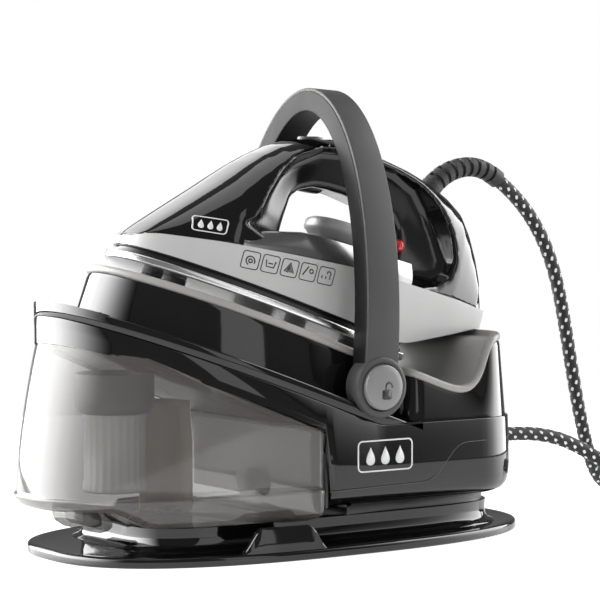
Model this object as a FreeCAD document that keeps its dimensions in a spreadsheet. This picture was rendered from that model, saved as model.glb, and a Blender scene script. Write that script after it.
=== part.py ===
import FreeCAD, Part
import math
import os
from FreeCAD import Placement, Rotation, Vector

# A steam generator iron: a base with a boiler, a slide-out water tank, a fold-down carry handle
# and an iron joined to it by a steam hose.
# Frame: millimetres, +Z up, -X towards the tank (front), -Y the left side.
# The origin is the centre of the foot plate, on the floor.

DIMENSIONS = {
    "foot_length": 360.0, "foot_width": 194.0, "foot_thick": 6.5, "pad_depth": 1.5, "pad_radius": 9.0,
    "screw_radius": 4.0, "neck_length": 286.0, "neck_width": 132.0, "neck_shift": 7.0, "neck_top": 21.9,
    "plinth_length": 152.0, "plinth_start": -17.0, "plinth_half": 56.0,
    "clip_length": 64.0, "clip_thick": 4.0, "clip_height": 15.5, "clip_side": 91.0, "clip_start": -89.0,
    "slope": 20.0, "case_front": -180.0, "case_rear": 156.0, "case_half": 84.0, "case_corner": 43.0,
    "case_low": 29.2, "seam_height": 82.0, "seam_x": 25.0, "ledge_height": 92.0, "wall": 2.5,
    "crown_front": -159.5, "crown_half": 68.5, "crown_bend": -22.5, "crown_end": 46.0,
    "rim_height": 124.0, "rim_thick": 5.0, "flap_drop": 3.0, "flap_proud": 0.6, "flap_length": 30.0,
    "flap_half": 44.0, "flap_start": -188.0, "flap_pin": 1.2, "flap_x": -157.0,
    "flap_z": 158.4, "barrel_half": 30.0,
    "mouth_x": -171.0, "mouth_length": 14.0, "mouth_half": 20.0, "mouth_low": 100.0,
    "tank_front": -196.0, "tank_rear": -20.0, "tank_low": 22.5, "tank_belt": 41.0, "tank_gap": 0.6,
    "tank_edge": 80.5, "tank_slope": 22.0, "tank_step": 11.0, "step_front": -160.0, "step_rear": -134.0,
    "outlet_z": 42.0, "outlet_radius": 5.2, "stem_radius": 5.0, "flange_radius": 8.0, "socket_radius": 9.0,
    "port_radius": 5.5, "socket_length": 14.0, "filter_radius": 21.0, "filter_height": 51.0,
    "cup_radius": 26.0, "cup_height": 26.0, "cup_wall": 2.0, "cup_x": -129.5, "cup_z": 92.0,
    "float_radius": 9.0, "float_height": 8.0, "float_x": -70.0, "float_y": 30.0, "latch_half": 17.0,
    "hub_x": 21.5, "hub_z": 107.5, "hub_radius": 20.0, "hub_inner": 74.0, "hub_outer": 88.5,
    "pin_radius": 5.0, "pin_play": 0.06, "pin_length": 18.0, "pin_hole": 9.0, "button_radius": 15.0,
    "button_play": 0.4, "button_lift": 2.8, "button_proud": 4.5, "hub_play": 0.05, "recess": 1.5,
    "bail_half": 88.0, "bail_rise": 176.0, "bail_base": 130.0, "bail_depth": 14.0, "bail_shell": 3.2,
    "bail_width": 27.0, "bail_lean": 3.5,
    "iron_x": -131.5, "iron_z": 199.0, "sole_length": 216.0, "sole_half": 57.0, "sole_thick": 5.0,
    "heater_height": 14.0, "heater_inset": 14.0, "shield_height": 4.5, "shield_inset": 3.0,
    "skirt_base": 11.0, "skirt_level": 48.5, "dial_x": 168.0, "dial_base": 60.4, "dial_radius": 25.0,
    "dial_height": 13.0, "collar_radius": 19.0, "collar_low": 54.0, "collar_height": 6.2, "lamp_radius": 5.0,
    "lamp_x": 199.0, "lamp_z": 75.0, "stat_x": 150.0, "stat_z": 16.1, "stat_radius": 11.0, "stat_height": 8.0,
    "rest_pad_radius": 8.0, "rest_pad_gap": 0.25,
    "boiler_radius": 23.0, "boiler_length": 118.0, "boiler_x": 28.0, "boiler_z": 57.0, "boiler_wall": 2.0,
    "boiler_end": 3.0, "loop_radius": 14.0, "loop_wire": 3.2, "loop_x": 90.0, "loop_drop": 5.0,
    "pump_x": -8.0, "pump_y": 38.0, "pump_z": 48.0, "motor_radius": 13.6, "motor_length": 27.6,
    "head_radius": 9.35, "head_length": 18.4, "valve_x": 124.0, "valve_y": -41.0, "valve_z": 56.0,
    "valve_length": 16.0, "valve_width": 15.0, "valve_height": 12.0, "coil_radius": 6.5,
    "relief_x": 60.0, "safety_radius": 6.0, "safety_height": 10.0, "board_x": 30.0, "board_y": 62.0,
    "board_z": 45.0, "board_length": 82.6, "board_thick": 1.75, "board_height": 23.0,
    "hose_radius": 5.0, "relief_radius": 7.2, "relief_play": 0.15, "gland_radius": 7.6, "gland_length": 22.0,
    "gland_set": 8.0, "inlet_length": 14.0, "gland_y": -30.0, "gland_z": 63.0, "mains_radius": 3.6,
    "mains_y": 30.0, "mains_z": 52.0, "coil_mean": 56.0, "coil_x": 386.0, "coil_y": -12.0, "coil_low": 0.5,
}

doc = FreeCAD.newDocument("steam_generator_iron")
dims = doc.addObject("Spreadsheet::Sheet", "Dims")
for row, (alias, value) in enumerate(DIMENSIONS.items(), start=1):
    dims.set(f"A{row}", alias)
    dims.set(f"B{row}", str(value))
    dims.setAlias(f"B{row}", alias)
doc.recompute()

SUBPARTS = {}
UP = Vector(0, 0, 1)
SIDE = Vector(0, 1, 0)
AHEAD = Vector(1, 0, 0)
FAR = 900.0


def dim(name):
    return float(dims.get(name))


# ---------------------------------------------------------------- document helpers

def keep(piece, label):
    piece.Label = label
    SUBPARTS[label] = piece
    return piece


def shaped(label, shape, place=None):
    """A sub-part whose shape is made in code from the sheet's values."""
    piece = doc.addObject("Part::Feature", label)
    piece.Shape = shape
    piece.Placement = place or Placement()
    return keep(piece, label)


def bound(kind, name, place, **sizes):
    """A Part primitive with its sizes bound to expressions on the sheet."""
    piece = doc.addObject(f"Part::{kind}", name)
    for prop, expression in sizes.items():
        piece.setExpression(prop, expression)
    piece.Placement = place
    return piece


def minus(name, base, tool):
    cut = doc.addObject("Part::Cut", name)
    cut.Base = base
    cut.Tool = tool
    return cut


def joined(name, pieces):
    union = doc.addObject("Part::MultiFuse", name)
    union.Shapes = pieces
    return union


def padded(label, curve, length, place):
    """A PartDesign body: one closed outline on its own XY plane, padded to a bound length."""
    body = doc.addObject("PartDesign::Body", label)
    sketch = body.newObject("Sketcher::SketchObject", f"{label}_outline")
    planes = {item.Role: item for item in body.Origin.OriginFeatures}
    sketch.AttachmentSupport = [(planes["XY_Plane"], "")]
    sketch.MapMode = "FlatFace"
    for edge in curve:
        sketch.addGeometry(edge, False)
    pad = body.newObject("PartDesign::Pad", f"{label}_pad")
    pad.Profile = sketch
    pad.setExpression("Length", length)
    body.Tip = pad
    body.Placement = place
    doc.recompute()
    return keep(body, label)


# ---------------------------------------------------------------- shape helpers

def superellipse(half_x, half_y, power, count, x0=0.0):
    points = []
    for step in range(count):
        turn = 2 * math.pi * step / count
        cx, sy = math.cos(turn), math.sin(turn)
        points.append(Vector(x0 + math.copysign(half_x * abs(cx) ** (2 / power), cx),
                             math.copysign(half_y * abs(sy) ** (2 / power), sy), 0))
    return points


def ring_curve(points):
    curve = Part.BSplineCurve()
    curve.interpolate(points, PeriodicFlag=True)
    return curve


def raised(face, low, high):
    solid = face.extrude(Vector(0, 0, high - low))
    solid.translate(Vector(0, 0, low))
    return solid


def below(x0, z0, angle):
    """A half space whose top is a plane through (x0, 0, z0), sloping down towards +X."""
    block = Part.makeBox(2 * FAR, 2 * FAR, FAR, Vector(-FAR, -FAR, -FAR))
    block.Placement = Placement(Vector(x0, 0, z0), Rotation(SIDE, angle))
    return block


def plan_face(front, half, rear, corner, bend, inset=0.0, power=2.0):
    """A top-view outline: straight sides, a rounded rear and an elliptical front."""
    front, half, rear = front + inset, half - inset, rear - inset
    corner = max(corner - inset, 1.0)
    diagonal = corner * math.sqrt(0.5)
    count = 12
    nose = []
    for step in range(count + 1):
        turn = -math.pi / 2 + math.pi * step / count
        cx = max(math.cos(turn), 0.0)
        reach = (bend - front) * cx ** (2 / power)
        width = math.copysign(half * abs(math.sin(turn)) ** (2 / power), math.sin(turn))
        nose.append(Vector(bend - reach, width, 0))
    curve = Part.BSplineCurve()
    curve.interpolate(nose, InitialTangent=Vector(-1, 0, 0), FinalTangent=Vector(1, 0, 0))
    right = Vector(rear - corner, half, 0)
    left = Vector(rear - corner, -half, 0)
    centre_r = Vector(rear - corner, half - corner, 0)
    centre_l = Vector(rear - corner, corner - half, 0)
    edges = [
        curve.toShape(),
        Part.makeLine(nose[-1], right),
        Part.Arc(right, centre_r + Vector(diagonal, diagonal, 0), Vector(rear, half - corner, 0)).toShape(),
        Part.makeLine(Vector(rear, half - corner, 0), Vector(rear, corner - half, 0)),
        Part.Arc(Vector(rear, corner - half, 0), centre_l + Vector(diagonal, -diagonal, 0), left).toShape(),
        Part.makeLine(left, nose[0]),
    ]
    return Part.Face(Part.Wire(edges))


def casing_plan(inset=0.0):
    return plan_face(dim("case_front"), dim("case_half"), dim("case_rear"), dim("case_corner"),
                     dim("tank_rear"), inset, 2.2)


def crown_prism(inset=0.0):
    """The raised middle of the casing, square to the sloping rim, ahead of the hub's rear side."""
    face = plan_face(dim("crown_front"), dim("crown_half"), dim("case_rear"), dim("case_corner"),
                     dim("crown_bend"), inset)
    solid = raised(face, -60, 100)
    solid.translate(Vector(0, 0, dim("hub_z")))
    solid.rotate(Vector(dim("hub_x"), 0, dim("hub_z")), SIDE, dim("slope"))
    return solid.common(ahead_of(dim("crown_end") - inset))


def shoulder_prism(inset=0.0):
    """The full-width casing behind the hub."""
    zone = Part.makeBox(FAR, 2 * FAR, FAR, Vector(dim("crown_end") + inset, -FAR, 0))
    return raised(casing_plan(2 + inset), 20, 260).common(zone)


def ahead_of(x):
    return Part.makeBox(FAR, 2 * FAR, 2 * FAR, Vector(x - FAR, -FAR, -FAR))


def filler_tool():
    """The mouth under the filler flap, through the casing and the tank's top."""
    corner = Vector(dim("mouth_x"), -dim("mouth_half"), dim("mouth_low"))
    return Part.makeBox(dim("mouth_length"), 2 * dim("mouth_half"), FAR, corner)


def seam_below():
    """Everything under the casing's parting line: sloping over the tank, level behind the hub."""
    level = below(0, dim("seam_height"), 0)
    return level.fuse(below(dim("seam_x"), dim("seam_height"), dim("slope")))


def ledge_below(drop=0.0):
    return below(dim("hub_x"), dim("ledge_height") - drop, dim("slope"))


def rim_below(rise=0.0):
    return below(dim("hub_x"), dim("rim_height") + rise, dim("slope"))


# Underside of the rest's rim behind the hub, as (x, z): on down the slope, then up round the heel.
REST_WAVE = [(40, 117.27), (47, 114.72), (62, 109.3), (78, 103.5), (86, 101.0), (93, 99.8),
             (100, 100.6), (106, 103.8), (111, 109.5), (115, 117), (119, 125.5), (124, 131.3),
             (132, 133.5), (146, 134), (160, 134)]


def wave_below(rise=0.0):
    """Everything under the rest's rim behind the hub."""
    points = [Vector(x, -FAR / 2, z + rise) for x, z in REST_WAVE]
    curve = Part.BSplineCurve()
    curve.interpolate(points)
    low_start, low_end = (Vector(point.x, point.y, 0) for point in (points[0], points[-1]))
    edges = [curve.toShape(), Part.makeLine(points[-1], low_end), Part.makeLine(low_end, low_start),
             Part.makeLine(low_start, points[0])]
    return Part.Face(Part.Wire(edges)).extrude(SIDE * FAR)


def tank_below(gap=0.0):
    return below(dim("tank_rear"), dim("tank_edge") + gap, dim("tank_slope"))


def hub_tool(radius, inner, outer):
    """Two short cylinders on the hub's axis, one on each side."""
    tools = []
    for sign in (-1, 1):
        start = Vector(dim("hub_x"), sign * inner, dim("hub_z"))
        tools.append(Part.makeCylinder(radius, outer - inner, start, SIDE * sign))
    return tools[0].fuse(tools[1])


# ---------------------------------------------------------------- the foot

FOOT_PADS = [(-125, -52), (-125, 52), (125, -52), (125, 52)]
SCREWS = [(-60, -38), (-60, 38), (60, -38), (60, 38)]
REST_PADS = [(-95, -14), (-95, 14), (30, -36), (30, 36)]


def build_foot():
    outline = [ring_curve(superellipse(dim("foot_length") / 2, dim("foot_width") / 2, 2.6, 32))]
    plate = padded("foot_plate", outline, "Dims.foot_thick", Placement())
    whole = plate.Shape.Volume
    sketch = plate.newObject("Sketcher::SketchObject", "foot_seats")
    planes = {item.Role: item for item in plate.Origin.OriginFeatures}
    sketch.AttachmentSupport = [(planes["XY_Plane"], "")]
    sketch.MapMode = "FlatFace"
    for radius, places in ((dim("pad_radius"), FOOT_PADS), (dim("screw_radius"), SCREWS)):
        for x, y in places:
            sketch.addGeometry(Part.Circle(Vector(x, y, 0), UP, radius), False)
    seats = plate.newObject("PartDesign::Pocket", "foot_pockets")
    seats.Profile = sketch
    seats.setExpression("Length", "Dims.pad_depth")
    seats.Reversed = True
    plate.Tip = seats
    doc.recompute()
    if plate.Shape.Volume >= whole:
        raise RuntimeError("the foot plate's pockets cut nothing")
    outline = [ring_curve(superellipse(dim("neck_length") / 2, dim("neck_width") / 2, 4.5, 32))]
    padded("neck", outline, "Dims.neck_top - Dims.foot_thick",
           Placement(Vector(dim("neck_shift"), 0, dim("foot_thick")), Rotation()))
    place = Placement(Vector(dim("plinth_start"), -dim("plinth_half"), dim("neck_top")), Rotation())
    keep(bound("Box", "plinth", place, Length="Dims.plinth_length", Width="Dims.plinth_half * 2",
               Height="Dims.case_low - Dims.neck_top"), "plinth")
    for label, radius, places in (("rubber_feet", "Dims.pad_radius", FOOT_PADS),
                                  ("base_screws", "Dims.screw_radius", SCREWS)):
        discs = []
        for index, (x, y) in enumerate(places):
            place = Placement(Vector(x, y, 0), Rotation())
            discs.append(bound("Cylinder", f"{label}_{index}", place, Radius=radius, Height="Dims.pad_depth"))
        keep(joined(label, discs), label)
    for side, sign in (("left", -1), ("right", 1)):
        low_y = sign * dim("clip_side") - dim("clip_thick") / 2
        place = Placement(Vector(dim("clip_start"), low_y, dim("foot_thick")), Rotation())
        keep(bound("Box", f"hose_clip_{side}", place, Length="Dims.clip_length", Width="Dims.clip_thick",
                   Height="Dims.clip_height"), f"hose_clip_{side}")


# ---------------------------------------------------------------- casings

def tank_bay(gap):
    """The space that the tank fills, with a gap round it."""
    bay = Part.makeBox(dim("tank_rear") + gap + FAR, 2 * FAR, FAR, Vector(-FAR, -FAR, -FAR / 2))
    return bay.common(tank_below(gap))


def build_lower_casing():
    wall = dim("wall")
    outer = raised(casing_plan(), dim("case_low"), 220).common(seam_below())
    outer = outer.cut(tank_bay(dim("tank_gap")))
    core = raised(casing_plan(wall), dim("case_low") + wall, 260).cut(tank_bay(dim("tank_gap") + wall))
    shell = outer.cut(core)
    shell = shell.cut(filler_tool())
    port = Vector(dim("tank_rear") - 2, 0, dim("outlet_z"))
    shell = shell.cut(Part.makeCylinder(dim("port_radius"), 8, port, AHEAD))
    for y, z, radius in ((dim("gland_y"), dim("gland_z"), dim("gland_radius")),
                         (dim("mains_y"), dim("mains_z"), dim("gland_radius"))):
        start = Vector(dim("case_rear") - 20, y, z)
        shell = shell.cut(Part.makeCylinder(radius, 60, start, AHEAD))
    shaped("lower_casing", shell)


def build_upper_casing():
    wall = dim("wall")
    band = raised(casing_plan(), 20, 260).cut(seam_below()).common(ledge_below())
    band = band.cut(raised(casing_plan(wall), 0, 260).common(ledge_below(wall)))
    crown = crown_prism().cut(ledge_below(wall)).common(rim_below())
    crown = crown.fuse(shoulder_prism().common(wave_below())).cut(seam_below())
    hollow = crown_prism(wall).fuse(shoulder_prism(wall))
    shell = band.fuse(crown).cut(hollow)
    seat_radius, seat_depth = dim("hub_radius") + dim("recess"), dim("hub_inner") - 0.5
    shell = shell.fuse(hub_tool(seat_radius, 64, seat_depth).common(rim_below()))
    shell = shell.cut(hub_tool(seat_radius, seat_depth, 120)).cut(hub_tool(dim("pin_radius"), 50, 90))
    seat = Part.makeBox(34, 90, 80, Vector(-190, -45, 130))
    shell = shell.cut(seat.cut(ledge_below(dim("flap_drop") + 0.2))).cut(filler_tool())
    shaped("upper_casing", shell)


def build_tray():
    """The warm grey rest: a sheet over the crown that dips behind the hub and rises round the iron's heel."""
    thick = dim("rim_thick")
    rim = crown_prism(-1).cut(rim_below(0.02)).common(rim_below(thick))
    heel = shoulder_prism(1).cut(wave_below(0.02)).common(wave_below(thick))
    shaped("rest_tray", rim.fuse(heel).removeSplitter())


def build_rest_pads():
    """Four rubber pads that stand on the slope and stop just short of the soleplate."""
    slope = math.radians(dim("slope"))
    axis = Rotation(SIDE, dim("slope")).multVec(UP)
    pads = []
    for x, y in REST_PADS:
        foot = Vector(x, y, dim("rim_height") + dim("rim_thick") - (x - dim("hub_x")) * math.tan(slope))
        sole = dim("iron_z") - dim("sole_thick") / math.cos(slope) - (x - dim("iron_x")) * math.tan(slope)
        height = (sole - foot.z) * math.cos(slope) - dim("rest_pad_gap")
        pads.append(Part.makeCylinder(dim("rest_pad_radius"), height, foot + axis * 0.02, axis))
    shaped("rest_pads", Part.makeCompound(pads))


# ---------------------------------------------------------------- inside the base

def lying(x, y, z):
    """A place whose own upright axis points rearwards."""
    return Placement(Vector(x, y, z), Rotation(SIDE, 90))


def build_boiler():
    vessel = bound("Cylinder", "boiler_vessel", lying(dim("boiler_x"), 0, dim("boiler_z")),
                   Radius="Dims.boiler_radius", Height="Dims.boiler_length")
    hollow = bound("Cylinder", "boiler_space", lying(dim("boiler_x") + dim("boiler_end"), 0, dim("boiler_z")),
                   Radius="Dims.boiler_radius - Dims.boiler_wall",
                   Height="Dims.boiler_length - 2 * Dims.boiler_end")
    keep(minus("boiler", vessel, hollow), "boiler")
    loop_at = Vector(dim("loop_x"), 0, dim("boiler_z") - dim("loop_drop"))
    shaped("boiler_heater", Part.makeTorus(dim("loop_radius"), dim("loop_wire"), loop_at, UP))
    safety_at = Vector(dim("relief_x"), 0, dim("boiler_z") + dim("boiler_radius"))
    shaped("safety_valve", Part.makeCylinder(dim("safety_radius"), dim("safety_height"), safety_at, UP))


def build_water_parts():
    motor = bound("Cylinder", "pump_motor", lying(dim("pump_x"), dim("pump_y"), dim("pump_z")),
                  Radius="Dims.motor_radius", Height="Dims.motor_length")
    head_place = lying(dim("pump_x") + dim("motor_length"), dim("pump_y"), dim("pump_z"))
    head = bound("Cylinder", "pump_head", head_place, Radius="Dims.head_radius", Height="Dims.head_length")
    keep(joined("pump", [motor, head]), "pump")
    corner = Vector(dim("valve_x"), dim("valve_y"), dim("valve_z"))
    block = Part.makeBox(dim("valve_length"), dim("valve_width"), dim("valve_height"), corner)
    top = corner + Vector(dim("valve_length") / 2, dim("valve_width") / 2, dim("valve_height"))
    shaped("solenoid_valve", block.fuse(Part.makeCylinder(dim("coil_radius"), dim("valve_height"), top, UP)))
    socket_at = Vector(dim("tank_rear") + 3.2, 0, dim("outlet_z"))
    socket = Part.makeCylinder(dim("socket_radius"), dim("socket_length"), socket_at, AHEAD)
    socket = socket.cut(Part.makeCylinder(dim("port_radius"), dim("socket_length"), socket_at, AHEAD))
    shaped("tank_socket", socket)
    place = Placement(Vector(dim("board_x"), dim("board_y"), dim("board_z")), Rotation())
    keep(bound("Box", "control_board", place, Length="Dims.board_length", Width="Dims.board_thick",
               Height="Dims.board_height"), "control_board")


def gland(label, y, z, bore, length):
    start = Vector(dim("case_rear") - dim("gland_set"), y, z)
    body = Part.makeCylinder(dim("gland_radius"), length, start, AHEAD)
    shaped(label, body.cut(Part.makeCylinder(bore, length, start, AHEAD)))


def build_glands():
    gland("hose_gland", dim("gland_y"), dim("gland_z"), dim("hose_radius"), dim("gland_length"))
    gland("mains_gland", dim("mains_y"), dim("mains_z"), dim("mains_radius"), dim("inlet_length"))


def build_pivot_pins():
    pins = []
    for sign in (-1, 1):
        turn = Rotation(AHEAD, 90 if sign < 0 else -90)
        place = Placement(Vector(dim("hub_x"), sign * (dim("hub_inner") - 10), dim("hub_z")), turn)
        pins.append(bound("Cylinder", f"pivot_pin_{sign + 1}", place, Radius="Dims.pin_radius",
                          Height="Dims.pin_length"))
    keep(joined("pivot_pins", pins), "pivot_pins")


# ---------------------------------------------------------------- tank

def tank_outline(front, half, rear, height, count=28):
    """A flat-backed outline with a rounded front, at one height."""
    points = []
    for step in range(count + 1):
        turn = -math.pi / 2 + math.pi * step / count
        reach = (rear - front) * max(math.cos(turn), 0.0) ** (2 / 2.2)
        width = math.copysign(half * abs(math.sin(turn)) ** (2 / 2.2), math.sin(turn))
        points.append(Vector(rear - reach, width, height))
    return Part.makePolygon(points + [points[0]])


def front_step(inset):
    """The space under the tank's front, where its underside is higher."""
    low = dim("tank_low") + inset
    high = low + dim("tank_step")
    rear = dim("step_rear") + inset
    corners = [(-FAR, 0), (-FAR, high), (dim("step_front"), high), (rear, low), (rear, 0)]
    outline = [Vector(x, -FAR / 2, z) for x, z in corners]
    return Part.Face(Part.makePolygon(outline + [outline[0]])).extrude(SIDE * FAR)


def tank_solid(inset):
    """The tank's outside, or with an inset its water space: each station is (height, ahead, aside)."""
    front, half, low, belt = dim("tank_front"), dim("case_half") - 0.5, dim("tank_low"), dim("tank_belt")
    rear = dim("tank_rear") - dim("tank_gap") - inset
    bevel = (low + inset + 5, 0.9, 0.7)
    stations = [(low + inset, 6.0, 5.0), bevel, (belt, 0.0, 0.0), (belt + 120, 15.0, 0.0)]
    wires = []
    for height, ahead, aside in stations:
        wires.append(tank_outline(front + ahead + inset, half - aside - inset, rear, height))
    return Part.makeLoft(wires, True, True).common(tank_below(-inset - 0.1)).cut(front_step(inset))


def build_tank():
    shell = tank_solid(0.0).cut(tank_solid(dim("wall")))
    outlet_at = Vector(dim("tank_rear") - 15, 0, dim("outlet_z"))
    outlet = Part.makeCylinder(dim("outlet_radius"), 30, outlet_at, AHEAD)
    shaped("tank_shell", shell.cut(filler_tool()).cut(outlet))
    stem_at = Vector(dim("tank_rear") - 12, 0, dim("outlet_z"))
    stem = Part.makeCylinder(dim("stem_radius"), 16, stem_at, AHEAD)
    flange = Part.makeCylinder(dim("flange_radius"), 6, stem_at + AHEAD * 2, AHEAD)
    shaped("tank_valve", stem.fuse(flange))


def build_tank_inside():
    """A cup under the tank's roof with the filter below it, and the float."""
    seat = Vector(dim("cup_x"), 0, dim("cup_z"))
    cup = Part.makeCylinder(dim("cup_radius"), dim("cup_height"), seat, UP)
    inner_radius, floor = dim("cup_radius") - dim("cup_wall"), seat + UP * dim("cup_wall")
    cup = cup.cut(Part.makeCylinder(inner_radius, dim("cup_height"), floor, UP))
    shaped("filler_funnel", cup.common(tank_below(-dim("wall") - 0.6)))
    place = Placement(seat - UP * dim("filter_height"), Rotation())
    keep(bound("Cylinder", "filter", place, Radius="Dims.filter_radius", Height="Dims.filter_height"),
         "filter_cartridge")
    float_at = Vector(dim("float_x"), dim("float_y"), dim("tank_low") + dim("wall") + 0.1)
    shaped("float_magnet", Part.makeCylinder(dim("float_radius"), dim("float_height"), float_at, UP))


# The latch's side view, as (x, z): it hangs under the step, clear of the ramp by its own travel.
LATCH_OUTLINE = [(-168, 33.49), (-168, 27), (-162, 19.5), (-150, 17), (-141, 18.5), (-139.5, 23),
                 (-163.5, 33.2), (-164.2, 33.49)]


def build_tank_latch():
    outline = [Vector(x, -dim("latch_half"), z) for x, z in LATCH_OUTLINE]
    face = Part.Face(Part.makePolygon(outline + [outline[0]]))
    shaped("tank_latch", face.extrude(SIDE * 2 * dim("latch_half")))


def build_filler_flap():
    """A curved lid over the front of the band, hinged along its rear edge."""
    slab = raised(casing_plan(), 100, 220).common(ledge_below(-dim("flap_proud")))
    slab = slab.cut(ledge_below(dim("flap_drop")))
    corner = Vector(dim("flap_start"), -dim("flap_half"), dim("mouth_low"))
    zone = Part.makeBox(dim("flap_length"), 2 * dim("flap_half"), FAR, corner)
    barrel_at = Vector(dim("flap_x"), -dim("barrel_half"), dim("flap_z"))
    barrel = Part.makeCylinder(dim("flap_pin"), 2 * dim("barrel_half"), barrel_at, SIDE)
    shaped("filler_flap", slab.common(zone).fuse(barrel))


# ---------------------------------------------------------------- carry handle

def bail_line(inset, count=16):
    """The handle's side profile seen from the front: straight legs and half an ellipse."""
    half, rise = dim("bail_half") - inset, dim("bail_rise") - inset
    top = []
    for step in range(count + 1):
        turn = math.pi * step / count
        top.append(Vector(0, half * math.cos(turn), dim("bail_base") + rise * math.sin(turn)))
    curve = Part.BSplineCurve()
    curve.interpolate(top, InitialTangent=UP, FinalTangent=-UP)
    return curve.toShape(), top[0], top[-1]


def bail_band(outer, inner):
    """The solid between two such profiles, as wide as the handle."""
    arc_out, right_out, left_out = bail_line(outer)
    arc_in, right_in, left_in = bail_line(inner)
    floor = dim("hub_z")
    legs = [Vector(0, point.y, floor) for point in (right_out, left_out, right_in, left_in)]
    edges = [Part.makeLine(legs[0], right_out), arc_out, Part.makeLine(left_out, legs[1]),
             Part.makeLine(legs[1], legs[3]), Part.makeLine(legs[3], left_in), arc_in,
             Part.makeLine(right_in, legs[2]), Part.makeLine(legs[2], legs[0])]
    face = Part.Face(Part.Wire(Part.__sortEdges__(edges)))
    solid = face.extrude(Vector(dim("bail_width"), 0, 0))
    solid.translate(Vector(dim("hub_x") - dim("bail_width") / 2, 0, 0))
    solid.rotate(Vector(dim("hub_x"), 0, dim("hub_z")), SIDE, dim("bail_lean"))
    return solid


def build_handle():
    hole = hub_tool(dim("hub_radius") + dim("hub_play"), 40, 120)
    shaped("handle_outer", bail_band(0, dim("bail_shell")).cut(hole))
    shaped("handle_inner", bail_band(dim("bail_shell"), dim("bail_depth")).cut(hole))
    for side, sign in (("left", -1), ("right", 1)):
        turn = Rotation(AHEAD, 90 if sign < 0 else -90)
        inner = Vector(dim("hub_x"), sign * dim("hub_inner"), dim("hub_z"))
        boss = bound("Cylinder", f"boss_{side}", Placement(inner, turn), Radius="Dims.hub_radius",
                     Height="Dims.hub_outer - Dims.hub_inner")
        bore = bound("Cylinder", f"bore_{side}", Placement(inner, turn),
                     Radius="Dims.pin_radius + Dims.pin_play", Height="Dims.pin_hole")
        seat_at = inner + SIDE * sign * dim("pin_hole")
        seat = bound("Cylinder", f"seat_{side}", Placement(seat_at, turn),
                     Radius="Dims.button_radius + Dims.button_play", Height="Dims.hub_outer - Dims.hub_inner")
        keep(minus(f"hub_{side}", boss, joined(f"hub_tools_{side}", [bore, seat])), f"hub_{side}")
        button_at = seat_at + SIDE * sign * dim("button_lift")
        seat_depth = "Dims.hub_outer - Dims.hub_inner - Dims.pin_hole"
        button = bound("Cylinder", f"lock_button_{side}", Placement(button_at, turn),
                       Radius="Dims.button_radius",
                       Height=f"{seat_depth} - Dims.button_lift + Dims.button_proud")
        keep(button, f"lock_button_{side}")


# ---------------------------------------------------------------- iron (in its own tilted frame)

def iron_place():
    return Placement(Vector(dim("iron_x"), 0, dim("iron_z")), Rotation(SIDE, dim("slope")))


def sole_half_width(along):
    """Half the soleplate's width at a distance from its tip."""
    length, widest = dim("sole_length"), 0.72 * dim("sole_length")
    if along <= widest:
        share = 1 - along / widest
        return dim("sole_half") * math.sqrt(max(1 - share ** 1.9, 0.0))
    share = (along - widest) / (length - widest)
    return dim("sole_half") * (1 - 0.2 * share ** 2)


def sole_points(inset=0.0):
    length = dim("sole_length") - inset
    start = inset * 1.2
    side = []
    for step in range(1, 15):
        along = start + (length - start) * (step / 14) ** 1.6
        width = max(sole_half_width(along - inset * 0.2) - inset, 0.6)
        side.append(Vector(along, width, 0))
    other = [Vector(point.x, -point.y, 0) for point in reversed(side)]
    return [Vector(start, 0, 0)] + side + other


def sole_face(inset=0.0):
    points = sole_points(inset)
    return Part.Face(Part.makePolygon(points + [points[0]]))


def iron_loft(sections):
    """A ruled solid through (along, low, high, low half-width, high half-width) sections."""
    wires = []
    for along, low, high, wide, narrow in sections:
        rise = high - low
        side = [(wide, low), (wide, low + rise * 0.3), ((wide + narrow) / 2, low + rise * 0.7),
                (narrow, high - rise * 0.06), (narrow * 0.6, high)]
        ring = [Vector(along, y, z) for y, z in side] + [Vector(along, -y, z) for y, z in reversed(side)]
        wires.append(Part.makePolygon(ring + [ring[0]]))
    return Part.makeLoft(wires, True, True)


def build_sole():
    outline = []
    points = sole_points()
    for start, end in zip(points, points[1:] + points[:1]):
        outline.append(Part.LineSegment(start, end))
    place = iron_place().multiply(Placement(Vector(0, 0, -dim("sole_thick")), Rotation()))
    padded("soleplate", outline, "Dims.sole_thick", place)
    shaped("sole_heater", raised(sole_face(dim("heater_inset")), 0.02, dim("heater_height")), iron_place())
    shield = raised(sole_face(dim("shield_inset")), 0.02, dim("shield_height"))
    shield = shield.cut(raised(sole_face(dim("heater_inset") - 0.5), 0, dim("shield_height") + 0.5))
    shaped("heat_shield", shield, iron_place())


def build_skirt():
    """The silver band round the iron, open below and above."""
    slope = math.degrees(math.atan2(34, 150))
    top = Part.makeBox(2 * FAR, 2 * FAR, FAR, Vector(-FAR, -FAR, -FAR))
    top.Placement = Placement(Vector(0, 0, dim("skirt_base")), Rotation(SIDE, -slope))
    level = below(0, dim("skirt_level"), 0)
    outer = raised(sole_face(0.2), dim("shield_height"), 80)
    tail = iron_loft([(212, 6, 80, 45, 45), (256, 27, 80, 42, 42), (282, 41, 80, 33, 33)])
    outer = outer.fuse(tail).common(top).common(level)
    core = raised(sole_face(3), 0, 90)
    core = core.fuse(iron_loft([(200, 9, 90, 42, 42), (254, 30, 90, 39, 39), (278, 44, 90, 30, 30)]))
    shaped("skirt", outer.cut(core), iron_place())


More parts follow.
